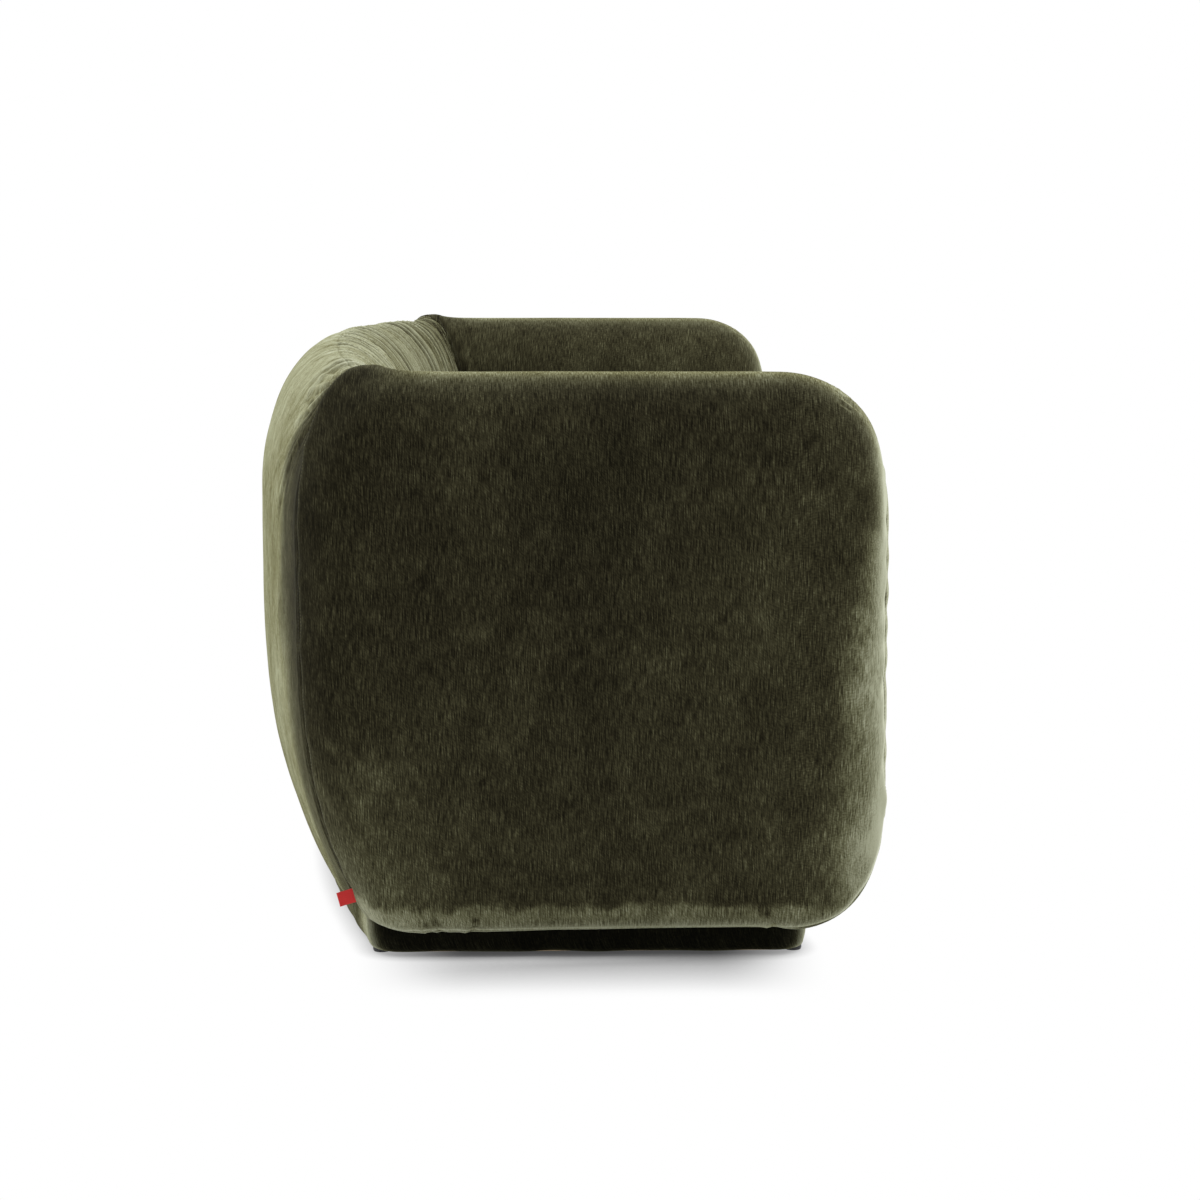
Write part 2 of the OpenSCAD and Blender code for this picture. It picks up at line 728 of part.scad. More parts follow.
// Timber inside the arms: ribs across, one at the corner, and two rails along
arm_rib_front = 3;
arm_rib_mid_y = mix(y_seam_front + arm_front_r, y_turn, 0.32);
arm_rail_front = arm_y(arm_rib_front, rib_inset) + soft_gap;
arm_rail_top_z = arm_h - arm_round - rail_h * 1.5;
arm_rail_top_back = y_corner - corner_r;
mid_tuck = 1.3;
mid_round = 1.12;
function arm_outline(top, foot, tuck, wide, high = arm_round) = [
    for (j = [0 : n_ring])
        section(j, wide, tuck, 0, top, foot, high, arm_roundness, rib_inset)];
module arm_rib_boards() {
    front_y = arm_y(arm_rib_front, rib_inset);
    rib_board([x_out, front_y], [x_in, front_y],
        arm_outline(arm_top(arm_rib_front) - rib_gap, arm_foot(arm_rib_front, rib_inset),
            arm_tuck, arm_t), rib_t / 2);
    rib_board([x_out, arm_y(n_front, 0)], [x_in, arm_y(n_front, 0)],
        arm_outline(arm_h, body_z, arm_tuck, arm_t), rib_t / 2);
    rib_board([x_out, arm_rib_mid_y], [x_in, arm_rib_mid_y],
        arm_outline(arm_h, body_z, arm_tuck * mid_tuck, arm_t, arm_round * mid_round), rib_t / 2);
    rib_board(back_outer(n_back), back_inner(n_back), back_outline(n_back));
}
module arm_rail_shapes() {
    translate([x_arm_rail - rail_t / 2, arm_rail_low_front, body_z])
        cube([rail_t, arm_rail_low_back - arm_rail_low_front, rail_h]);
    translate([x_arm_rail - rail_t / 2, arm_rail_front, arm_rail_top_z])
        cube([rail_t, arm_rail_top_back - arm_rail_front, rail_h]);
}
module arm_rails_right() {
    color(timber)
        difference() {
            arm_rail_shapes();
            bolt_holes();
        }
}
module arm_rails_left() {
    mirror([1, 0, 0]) arm_rails_right();
}
module arm_ribs_right() {
    color(plywood)
        difference() {
            arm_rib_boards();
            arm_rail_shapes();
            bolt_holes();
        }
}
module arm_ribs_left() {
    mirror([1, 0, 0]) arm_ribs_right();
}

// The woven tab, sewn flat into the rear seam of the left arm
tab_clear = 2.2;
tab_tilt = 20;
function seam_draw(z) =
    let (z_full = mix(body_z, arm_h - back_round, full_share))
    corner_tuck * pow(max(0, (z_full - z) / (z_full - body_z)), tuck_power);
module seam_tab() {
    way = unit(arm_inner(n_arm, 0) - arm_outer(n_arm, 0));
    x_seam = x_corner + way.x * seam_draw(tab_z);
    y_seam = y_corner + way.y * seam_draw(tab_z);
    color(tab_red)
        translate([-x_seam - tab_t / 2, y_seam + tab_clear + 3, tab_z])
            rotate([tab_tilt, 0, 0])
                translate([0, 0, -tab_w / 2])
                    cube([tab_t, tab_w, tab_w]);
}

// The loose crescent cushion. Its rim is a closed loop of points that starts
// at the left end, runs along the front and returns along the back.
n_side = 10;
n_bend = 4;
n_end = 2;
z_cushion = deck_z + soft_gap;
x_cushion = x_in - cushion_gap;
lean_at_seat = 0.66;
front_r_share = 0.55;
y_cushion_back = y_in_mid - back_lean * lean_at_seat - cushion_gap;
cushion_back_bow = inner_bow * 0.8;
function rim_front(x, inset) = bow(x, y_apron + inset, seat_bow, x_in);
function rim_back(x, inset) = bow(x, y_cushion_back - inset, cushion_back_bow, x_in);
function rim_right(inset) =
    let (
        half = x_cushion - inset,
        r = cushion_r - inset,
        r_front = cushion_r * front_r_share - inset,
        y_low = rim_front(half - r_front, inset) + r_front,
        y_high = rim_back(half - r, inset) - r
    )
    concat(
        [for (i = [0 : n_side - 1]) let (x = (half - r_front) * (i + 0.5) / (n_side - 0.5))
            [x, rim_front(x, inset)]],
        [for (i = [1 : n_bend]) let (a = -78 + 78 * (i - 1) / (n_bend - 1))
            [half - r_front + r_front * cos(a), y_low + r_front * sin(a)]],
        [for (i = [1 : n_end]) [half - 3 * sin(180 * i / (n_end + 1)), mix(y_low, y_high, i / (n_end + 1))]],
        [for (i = [0 : n_bend - 1]) let (a = 76 * i / (n_bend - 1))
            [half - r + r * cos(a), y_high + r * sin(a)]],
        [for (i = [n_side - 1 : -1 : 0]) let (x = (half - r) * (i + 0.5) / (n_side - 0.5))
            [x, rim_back(x, inset)]]
    );
// The loop from the left end round the front to the right and back again
function rim(inset) =
    let (
        right = rim_right(inset),
        n = len(right),
        half = n / 2,
        lower = [for (i = [0 : half - 1]) right[i]],
        upper = [for (i = [half : n - 1]) right[i]]
    )
    concat([for (i = [half - 1 : -1 : 0]) [-lower[i].x, lower[i].y]], lower, upper,
        [for (i = [half - 1 : -1 : 0]) [-upper[i].x, upper[i].y]]);
n_panel = 4;
panel_reach = 0.9;
panel_draw = 0.94;
edge_in = 7;
function panel_ring(m, z_rim, swell, inset) =
    let (
        loop = rim(inset + edge_in),
        n = len(loop),
        s = panel_reach * m / n_panel,
        z = z_rim + swell * pow(quarter(s), 1.3)
    )
    [for (i = [0 : n - 1])
        let (
            a = loop[i],
            centre = [a.x * panel_draw, (a.y + loop[n - 1 - i].y) / 2],
            at = mix(a, centre, s)
        )
        [at.x, at.y, z]];
// The band: how far each ring is drawn in, and its share of the height
band_draw = [1, 0.25, 0.25, 1];
band_rise = [0, 0.2, 0.8, 1];
z_cushion_top = z_cushion + cushion_t;
function band_ring(k, inset) =
    let (z = mix(z_cushion + inset, z_cushion_top - inset, band_rise[k]))
    [for (p = rim(inset + edge_in * band_draw[k])) [p.x, p.y, z]];

// A closed band or cap between two stacks of closed rings
module ring_sheet(over, under, cap) {
    rows = len(over);
    n = len(over[0]);
    count = rows * n;
    points = [for (row = over) each row, for (row = under) each row];
    function at(r, c) = r * n + (c % n);
    faces = [
        for (r = [0 : rows - 2], c = [0 : n - 1]) each [
            [at(r, c), at(r + 1, c + 1), at(r, c + 1)],
            [at(r, c), at(r + 1, c), at(r + 1, c + 1)],
            [count + at(r, c), count + at(r, c + 1), count + at(r + 1, c + 1)],
            [count + at(r, c), count + at(r + 1, c + 1), count + at(r + 1, c)]
        ],
        for (c = [0 : n - 1]) each [
            [at(0, c), at(0, c + 1), count + at(0, c + 1)],
            [at(0, c), count + at(0, c + 1), count + at(0, c)]
        ],
        if (!cap) for (c = [0 : n - 1]) each [
            [at(rows - 1, c + 1), at(rows - 1, c), count + at(rows - 1, c)],
            [at(rows - 1, c + 1), count + at(rows - 1, c), count + at(rows - 1, c + 1)]
        ],
        if (cap) for (c = [0 : n / 2 - 2]) each [
            [at(rows - 1, c), at(rows - 1, n - 2 - c), at(rows - 1, c + 1)],
            [at(rows - 1, c), at(rows - 1, n - 1 - c), at(rows - 1, n - 2 - c)],
            [count + at(rows - 1, c), count + at(rows - 1, c + 1), count + at(rows - 1, n - 2 - c)],
            [count + at(rows - 1, c), count + at(rows - 1, n - 2 - c), count + at(rows - 1, n - 1 - c)]
        ]
    ];
    polyhedron(points, faces, convexity = 6);
}
// A solid between a first and a last closed ring
module ring_solid(rings) {
    rows = len(rings);
    n = len(rings[0]);
    points = [for (row = rings) each row];
    function at(r, c) = r * n + (c % n);
    faces = [
        for (r = [0 : rows - 2], c = [0 : n - 1]) each [
            [at(r, c), at(r + 1, c + 1), at(r, c + 1)],
            [at(r, c), at(r + 1, c), at(r + 1, c + 1)]
        ],
        for (c = [0 : n / 2 - 2]) each [
            [at(rows - 1, c), at(rows - 1, n - 2 - c), at(rows - 1, c + 1)],
            [at(rows - 1, c), at(rows - 1, n - 1 - c), at(rows - 1, n - 2 - c)],
            [at(0, c), at(0, c + 1), at(0, n - 2 - c)],
            [at(0, c), at(0, n - 2 - c), at(0, n - 1 - c)]
        ]
    ];
    polyhedron(points, faces, convexity = 6);
}
function top_rings(inset) = [for (m = [0 : n_panel])
    panel_ring(m, z_cushion_top - inset, cushion_crown, inset)];
function foot_rings(inset) = [for (m = [0, n_panel])
    panel_ring(m, -inset, 0, inset)];
function band_rings(inset) = [for (k = [0 : 3]) band_ring(k, inset)];
module cushion_top() {
    color(olive) ring_sheet(top_rings(0), top_rings(cover_t), true);
}
module cushion_bottom() {
    color(olive_dark)
        translate([0, 0, z_cushion])
            mirror([0, 0, 1])
                ring_sheet(foot_rings(0), foot_rings(cover_t), true);
}
module cushion_band() {
    color(olive) ring_sheet(band_rings(0), band_rings(cover_t), false);
}
module cushion_core() {
    color(foam_cream)
        ring_solid(concat(band_rings(cover_t),
            [for (m = [1 : n_panel]) top_rings(cover_t)[m]]));
}

// The zip at the back of the cushion's band
zip_half = 520;
zip_t = 0.8;
module zip_tape() {
    color(black)
        bowed_board(zip_half, rim_back(0, edge_in * band_draw[1]) + soft_gap / 2,
            cushion_back_bow * pow(zip_half / x_in, 2), zip_t,
            z_cushion + cushion_t / 2 - zip_w / 2, zip_w, 12);
}
pull_size = [7, 1.4, 22];
module zip_pull() {
    color(steel)
        translate([zip_half - 30, rim_back(zip_half - 30, edge_in * band_draw[1]) + soft_gap + zip_t + 0.6,
            z_cushion + cushion_t / 2 - pull_size.z])
            cube(pull_size);
}

glides();
glide_screws();
plinth_frame();
plinth_cover();
plinth_bolts();
seat_front_rail();
seat_rear_rail();
seat_end_rails();
seat_cross_rails();
corner_blocks();
seat_springs();
spring_clips();
deck_cloth();
deck_pad();
back_ribs();
back_rails();
back_webbing();
back_foam();
outside_back_cover();
inside_back_cover();
arm_ribs_left();
arm_ribs_right();
arm_rails_left();
arm_rails_right();
arm_foam_left();
arm_foam_right();
arm_cover_left();
arm_cover_right();
arm_front_left();
arm_front_right();
arm_front_pad_left();
arm_front_pad_right();
apron_foam();
apron_cover();
dust_cover();
seam_tab();
cushion_core();
cushion_top();
cushion_band();
cushion_bottom();
zip_tape();
zip_pull();
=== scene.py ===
# %% [markdown]
# A curved velvet sofa, dressed over its frame.
# The frame is loaded first and stays as it is: plinth, timber, springs and
# foam at their real sizes, in metres, with +Z up and the front towards -Y.
# Everything soft that shows is modelled here around it.
# %% Load the frame
import json
import math
import bmesh
import bpy
import numpy as np
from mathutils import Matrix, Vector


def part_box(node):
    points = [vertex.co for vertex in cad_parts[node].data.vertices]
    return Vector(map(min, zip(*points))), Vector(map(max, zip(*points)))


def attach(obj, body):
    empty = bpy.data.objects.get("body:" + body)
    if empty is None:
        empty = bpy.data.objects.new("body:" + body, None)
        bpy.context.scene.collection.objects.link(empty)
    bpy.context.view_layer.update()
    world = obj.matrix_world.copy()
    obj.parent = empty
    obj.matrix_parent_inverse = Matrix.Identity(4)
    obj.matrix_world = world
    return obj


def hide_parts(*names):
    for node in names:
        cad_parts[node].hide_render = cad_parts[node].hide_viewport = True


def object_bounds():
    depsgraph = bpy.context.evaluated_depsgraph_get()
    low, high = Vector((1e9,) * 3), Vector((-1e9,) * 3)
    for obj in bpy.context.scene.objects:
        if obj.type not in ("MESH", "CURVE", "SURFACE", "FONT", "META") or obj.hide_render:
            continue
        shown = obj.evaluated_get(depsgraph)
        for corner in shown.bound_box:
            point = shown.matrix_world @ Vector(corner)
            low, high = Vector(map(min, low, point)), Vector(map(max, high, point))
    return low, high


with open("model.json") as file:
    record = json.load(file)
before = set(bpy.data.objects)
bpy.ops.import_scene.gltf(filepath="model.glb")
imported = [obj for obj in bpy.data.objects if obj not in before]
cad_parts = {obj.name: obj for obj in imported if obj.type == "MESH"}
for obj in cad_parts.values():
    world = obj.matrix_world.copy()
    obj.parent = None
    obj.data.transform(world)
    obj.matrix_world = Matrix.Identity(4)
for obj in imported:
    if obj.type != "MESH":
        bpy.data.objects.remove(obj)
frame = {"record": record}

from types import SimpleNamespace
from mathutils import Vector

cad_low, cad_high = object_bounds()

# %% [markdown]
# The photograph looks along the sofa's width at one arm. The camera stands
# 3.45 m from that arm, a little above it, turned slightly to the front, so
# that the back's crest and the far arm show over the top edge. A camera
# looks along its own -Z, so its turn is worked out from the view's direction.
# %% Camera
CAMERA_AT = Vector((-4.55, -0.0078, 0.9728))
PITCH_DOWN = math.radians(7.856)
YAW_TO_FRONT = math.radians(-1.049)
LENS_MM = 82.14

look = Vector((math.cos(PITCH_DOWN) * math.cos(YAW_TO_FRONT),
               math.cos(PITCH_DOWN) * math.sin(YAW_TO_FRONT),
               -math.sin(PITCH_DOWN)))
camera_data = bpy.data.cameras.new("camera")
camera_data.lens = LENS_MM
camera_data.sensor_width = 36
camera = bpy.data.objects.new("camera", camera_data)
camera.location = CAMERA_AT
camera.rotation_euler = look.to_track_quat("-Z", "Y").to_euler()
bpy.context.collection.objects.link(camera)
bpy.context.scene.camera = camera
bpy.context.scene.view_settings.view_transform = "Standard"

# %% [markdown]
# Blender's materials, the world's too, are trees of nodes joined by links.
# One helper empties a tree and hands back a maker: it adds a node, sets its
# values, and links an input where it is given another node's output.
# %% Node helpers
def node_tree(owner):
    owner.use_nodes = True
    nodes, links = owner.node_tree.nodes, owner.node_tree.links
    nodes.clear()

    def node(kind, inputs=(), **values):
        made = nodes.new(kind)
        for key, value in values.items():
            setattr(made, key, value)
        for key, value in dict(inputs).items():
            if isinstance(value, bpy.types.NodeSocket):
                links.new(value, made.inputs[key])
            else:
                made.inputs[key].default_value = value
        return made
    return node


def ramp(node, stops, value):
    made = node("ShaderNodeValToRGB", {"Fac": value})
    band = made.color_ramp
    while len(band.elements) < len(stops):
        band.elements.new(0.5)
    for element, (position, color) in zip(band.elements, stops):
        element.position = position
        element.color = (*color, 1)
    return made.outputs["Color"]


def seen_by_camera(node):
    """1 where the camera, a reflection or glass looks straight at it."""
    path = node("ShaderNodeLightPath").outputs
    first = node("ShaderNodeMath", {0: path["Is Camera Ray"], 1: path["Is Glossy Ray"]},
                 operation="MAXIMUM")
    second = node("ShaderNodeMath", {0: first.outputs[0], 1: path["Is Transmission Ray"]},
                  operation="MAXIMUM")
    return second.outputs[0]


# %% [markdown]
# The photograph's ground is plain white with a soft grey shadow under the
# plinth. The world is white only where the camera or a reflection looks at
# it; the sofa itself gets a softer studio level, so the velvet stays dark.
# Three large area lamps stand above, behind and in front, because a wide
# lamp gives the soft edges of a photo studio.
# %% Background and lamps
WHITE = (1, 1, 1, 1)
WORLD_LEVEL = 0.66

world = bpy.data.worlds.new("studio")
bpy.context.scene.world = world
node = node_tree(world)
level = node("ShaderNodeBackground", {"Color": WHITE, "Strength": WORLD_LEVEL})
white = node("ShaderNodeBackground", {"Color": WHITE, "Strength": 1.0})
choice = node("ShaderNodeMixShader", {
    "Fac": seen_by_camera(node), 1: level.outputs[0], 2: white.outputs[0]})
node("ShaderNodeOutputWorld", {"Surface": choice.outputs[0]})


def soft_box(name, at, aim, size, power):
    data = bpy.data.lights.new(name, "AREA")
    data.shape = "RECTANGLE"
    data.size, data.size_y = size
    data.energy = power
    lamp = bpy.data.objects.new(name, data)
    lamp.location = at
    lamp.rotation_euler = (Vector(aim) - Vector(at)).to_track_quat("-Z", "Y").to_euler()
    bpy.context.collection.objects.link(lamp)


soft_box("overhead", (0, 0.2, 3.2), (0, 0, 0.4), (3.4, 2.6), 40)
soft_box("behind", (-0.6, 3.2, 1.7), (0, 0, 0.5), (3.0, 1.8), 34)
soft_box("front", (-0.6, -3.2, 1.7), (0, 0, 0.5), (3.0, 1.8), 34)

# %% [markdown]
# The floor shines white to the camera, so that it melts into the background,
# and is plain matt to everything else. Ambient occlusion tells how closely
# something stands over a point. It gives two shades: a narrow one all round
# the plinth, and a wide one that is let in only beyond its two ends.
# %% Floor
FLOOR_SIZE = 14
FLOOR_COLOR = (0.93, 0.93, 0.93, 1)
END_SHADE_FROM, END_SHADE_FULL = 0.84, 0.93
END_SHADE_Y, END_SHADE_HALF, END_SHADE_GONE = -0.06, 0.16, 0.32

bpy.ops.mesh.primitive_plane_add(size=FLOOR_SIZE, location=(0, 0, 0))
floor = bpy.context.object
floor.name = "floor"
floor_paint = bpy.data.materials.new("floor")
floor.data.materials.append(floor_paint)
node = node_tree(floor_paint)
split = node("ShaderNodeSeparateXYZ", {0: node("ShaderNodeTexCoord").outputs["Object"]})
side = node("ShaderNodeMath", {0: split.outputs["X"]}, operation="ABSOLUTE")
at_end = node("ShaderNodeMapRange", {
    "Value": side.outputs[0], "From Min": END_SHADE_FROM, "From Max": END_SHADE_FULL})
off_middle = node("ShaderNodeMath", {0: split.outputs["Y"], 1: -END_SHADE_Y}, operation="ADD")
beside = node("ShaderNodeMath", {0: off_middle.outputs[0]}, operation="ABSOLUTE")
within = node("ShaderNodeMapRange", {
    "Value": beside.outputs[0], "From Min": END_SHADE_GONE, "From Max": END_SHADE_HALF},
    interpolation_type="SMOOTHSTEP")
here = node("ShaderNodeMath", {0: at_end.outputs["Result"], 1: within.outputs["Result"]},
            operation="MULTIPLY")


def shade_within(distance, dark, start, end):
    near = node("ShaderNodeAmbientOcclusion", {"Distance": distance}, samples=16)
    return ramp(node, [(start, (dark, dark, dark)), (end, WHITE[:3])], near.outputs["AO"])


wide = node("ShaderNodeMix", {
    "Factor": here.outputs[0], "A": WHITE, "B": shade_within(0.16, 0.14, 0.05, 0.93)},
    data_type="RGBA")
both = node("ShaderNodeMix", {
    "Factor": 1.0, "A": shade_within(0.035, 0.45, 0.10, 0.85), "B": wide.outputs["Result"]},
    data_type="RGBA", blend_type="MULTIPLY")
glow = node("ShaderNodeEmission", {"Color": both.outputs["Result"]})
matt = node("ShaderNodeBsdfDiffuse", {"Color": FLOOR_COLOR})
choice = node("ShaderNodeMixShader", {
    "Fac": seen_by_camera(node), 1: matt.outputs[0], 2: glow.outputs[0]})
node("ShaderNodeOutputMaterial", {"Surface": choice.outputs[0]})

# %% [markdown]
# The padded body is one form: a section like a tall pillow, carried round a
# U in plan. The same few sizes shape the foam in the frame, so the covers
# here lie on it. All values are metres. A section is counted in steps: LOW
# up the side, TOP over the crest and LOW down the inside. The arm's length
# is counted too: FRONT round its front edge, STRAIGHT, and TURN at the rear.
# %% Sizes of the padded body
X_OUT = cad_high[0]
Y_FRONT, Y_BACK = cad_low[1], cad_high[1]
BACK_H = cad_high[2]
ARM_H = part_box("arm_cover_right")[1][2]
FOOT_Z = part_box("arm_cover_right")[0][2]
ARM_T = 0.200
X_IN = X_OUT - ARM_T
FRONT_CROWN = 0.008
Y_SEAM = Y_FRONT + FRONT_CROWN
ARM_FRONT_R = 0.135
ARM_FRONT_RISE = 0.132
ARM_TOE_R = 0.120
ARM_ROUND = 0.112
ARM_EDGE_R = 0.044
ARM_TUCK = 0.052
BACK_BOW = 0.133
INNER_BOW = 0.044
BACK_T = 0.242
BACK_ROUND = 0.205
BACK_TUCK = 0.080
CORNER_TUCK = BACK_TUCK * 1.45
TUCK_POWER = 2.5
FULL_SHARE = 0.73
BACK_LEAN = 0.055
CORNER_LEAN = 0.025
CORNER_R = 0.064
CORNER_TURN = math.radians(70)
ARM_ROUNDNESS, BACK_ROUNDNESS = 2.4, 1.9
ARM_ROLL, BACK_ROLL = 0.020, 0.009
UNDER_STRIP, UNDER_DROP = 0.034, 0.0045
X_CORNER = X_OUT - CORNER_R + CORNER_R * math.cos(CORNER_TURN)
Y_CORNER = Y_BACK - BACK_BOW
Y_TURN = Y_CORNER - CORNER_R * math.sin(CORNER_TURN)
Y_IN_MID = Y_BACK - BACK_T
Y_IN_CORNER = Y_IN_MID - INNER_BOW
LOW, TOP, FRONT, STRAIGHT, TURN = 5, 8, 5, 5, 3
RING = LOW + TOP + LOW
CREST = LOW + TOP / 2
ARM_END = FRONT + STRAIGHT + TURN

# %% [markdown]
# One function gives any point of a section, from under the foot of the
# outside over the crest to the foot of the inside. Numpy works it out for a
# whole grid at once, which makes a smooth dense cover in a moment.
# %% The section and its two paths
def mix(a, b, t):
    return a + (b - a) * t


def quarter(s):
    return np.sqrt(np.maximum(0, 1 - (1 - np.clip(s, 0, 1)) ** 2))


def section(j, thick, tuck, lean, top, foot, high, roundness, roll, under=0):
    z_side = top - high
    z_full = mix(foot, z_side, FULL_SHARE)
    z_low = mix(foot, z_side, np.clip(j / LOW, 0, 1) ** 1.2)
    d_low = tuck * np.clip((z_full - z_low) / (z_full - foot), 0, None) ** TUCK_POWER
    d_low = d_low + roll * (1 - quarter((z_low - foot) / roll))
    d_low = d_low + under * np.clip(-j, 0, 1)
    z_low = z_low - UNDER_DROP * np.clip(-4 * j, 0, 1)
    turn = np.pi * np.clip((j - LOW) / TOP, 0, 1)
    across = np.sign(np.cos(turn)) * np.abs(np.cos(turn)) ** (2 / roundness)
    d_top = thick / 2 * (1 - across)
    z_top = z_side + high * np.abs(np.sin(turn)) ** (2 / roundness)
    s = np.clip((j - LOW - TOP) / LOW, 0, 1)
    d_in = thick + lean * s
    z_in = mix(z_side, foot, s)
    distance = np.where(j < LOW, d_low, np.where(j <= LOW + TOP, d_top, d_in))
    height = np.where(j < LOW, z_low, np.where(j <= LOW + TOP, z_top, z_in))
    return distance, height


def placed(outer_x, outer_y, inner_x, inner_y, distance, height):
    thick = np.hypot(inner_x - outer_x, inner_y - outer_y)
    return np.stack([outer_x + (inner_x - outer_x) / thick * distance,
                     outer_y + (inner_y - outer_y) / thick * distance,
                     height + 0 * outer_x], axis=-1)


def arm_surface(k, j):
    k, j = np.meshgrid(np.atleast_1d(k), np.atleast_1d(j), indexing="ij")
    quarter_turn = np.pi / 2 * np.clip(k / FRONT, 0, 1)
    y_round = Y_SEAM + ARM_FRONT_R * (1 - np.cos(quarter_turn))
    along = np.clip((k - FRONT) / STRAIGHT, 0, 1)
    over = np.clip((k - FRONT - STRAIGHT) / TURN, 0, 1)
    y_start = Y_SEAM + ARM_FRONT_R
    y_outer = np.where(k <= FRONT, y_round,
                       mix(y_start, Y_TURN, along) + CORNER_R * np.sin(CORNER_TURN * over))
    t = np.clip((k - FRONT) / (ARM_END - FRONT), 0, 1)
    y_inner = np.where(k <= FRONT, y_round, mix(y_start, Y_IN_CORNER, t))
    edge = ARM_EDGE_R * (1 - quarter((y_round - Y_SEAM) / ARM_EDGE_R))
    x_outer = X_OUT - edge - CORNER_R * (1 - np.cos(CORNER_TURN * over))
    x_inner = X_IN + edge
    top = ARM_H - np.where(k < FRONT, ARM_FRONT_RISE * (1 - np.sin(quarter_turn)), 0)
    toe = ARM_TOE_R * 1.2 * (1 - quarter((y_round - Y_SEAM) / ARM_TOE_R))
    foot = FOOT_Z + np.where(k < FRONT, toe, 0)
    thick = np.hypot(x_inner - x_outer, y_inner - y_outer)
    tuck = mix(ARM_TUCK * np.clip(k / FRONT, 0, 1), CORNER_TUCK, t ** 2)
    high = mix(ARM_ROUND, BACK_ROUND, t ** 2)
    roundness = mix(ARM_ROUNDNESS, BACK_ROUNDNESS, t ** 2)
    roll = mix(ARM_ROLL, BACK_ROLL, t ** 2)
    under = UNDER_STRIP * np.clip(k - FRONT + 1, 0, 1) * (1 - t ** 3)
    distance, height = section(j, thick, tuck, CORNER_LEAN * t ** 3, top, foot,
                               high, roundness, roll, under)
    return placed(x_outer, y_outer, x_inner, y_inner, distance, height)


def back_surface(side, j):
    side, j = np.meshgrid(np.atleast_1d(side), np.atleast_1d(j), indexing="ij")
    x_outer, x_inner = X_CORNER * side, X_IN * side
    y_outer = Y_BACK - BACK_BOW * side ** 2
    y_inner = Y_IN_MID - INNER_BOW * side ** 2
    thick = np.hypot(x_inner - x_outer, y_inner - y_outer)
    distance, height = section(
        j, thick, mix(BACK_TUCK, CORNER_TUCK, side ** 8), mix(BACK_LEAN, CORNER_LEAN, side ** 2),
        mix(BACK_H, ARM_H, side ** 2), FOOT_Z, BACK_ROUND, BACK_ROUNDNESS, BACK_ROLL)
    return placed(x_outer, y_outer, x_inner, y_inner, distance, height)


# %% [markdown]
# Folds need points close together where the cloth bends, and few where it
# lies flat. So the steps of each grid are spaced by measured length on the
# surface, at a spacing that may change along the way.
# %% Steps along the cloth
FINE_STEPS, QUICK_SHARE = 3000, 0.45


def graded_steps(path, low, high, spacing):
    """Values from low to high whose points on the path lie spacing(value) apart."""
    fine = np.linspace(low, high, FINE_STEPS)
    points = path(fine)
    length = np.linalg.norm(np.diff(points, axis=0), axis=1)
    run = np.concatenate([[0], np.cumsum(length / spacing((fine[1:] + fine[:-1]) / 2))])
    count = max(4, int(round(run[-1] * (1))) + 1)
    return np.interp(np.linspace(0, run[-1], count), run, fine)


# %% [markdown]
# A cover is a grid with a thin inside and closed edges. It is made from its
# points in one go, because a dense padded skin has far too many faces to
# push by hand. Its UV map is in metres of cloth, so the weave runs up it at
# its true size. Two more values per point give its tone, which holds the
# brushed nap together with painted light and shade, and how much sheen of
# its pale tips shows.
# %% Make a closed skin from a grid
def grid_normals(points, towards):
    normal = np.cross(np.gradient(points, axis=0), np.gradient(points, axis=1))
    normal = normal / np.maximum(np.linalg.norm(normal, axis=-1, keepdims=True), 1e-9)
    row, col = points.shape[0] // 2, points.shape[1] // 3
    flipped = np.dot(normal[row, col], towards) < 0
    return (-normal if flipped else normal), bool(flipped)


def lengths(points, axis):
    steps = np.linalg.norm(np.diff(points, axis=axis), axis=-1)
    start = np.zeros_like(np.take(steps, [0], axis=axis))
    return np.concatenate([start, np.cumsum(steps, axis=axis)], axis=axis)


def add_mesh(name, verts, faces, uv=None, nap_and_shading=None, sheen_share=None):
    mesh = bpy.data.meshes.new(name)
    mesh.from_pydata(np.asarray(verts).tolist(), [], np.asarray(faces).tolist())
    if uv is not None:
        layer = mesh.uv_layers.new(name="cloth")
        corner = np.empty(len(mesh.loops), dtype=np.int32)
        mesh.loops.foreach_get("vertex_index", corner)
        layer.data.foreach_set("uv", uv[corner].ravel())
    for label, values in (("nap_and_shading", nap_and_shading), ("sheen_share", sheen_share)):
        if values is not None:
            layer = mesh.attributes.new(label, "FLOAT", "POINT")
            layer.data.foreach_set("value", np.clip(values, 0, 1.2).ravel())
    mesh.shade_smooth()
    piece = bpy.data.objects.new(name, mesh)
    bpy.context.collection.objects.link(piece)
    return piece


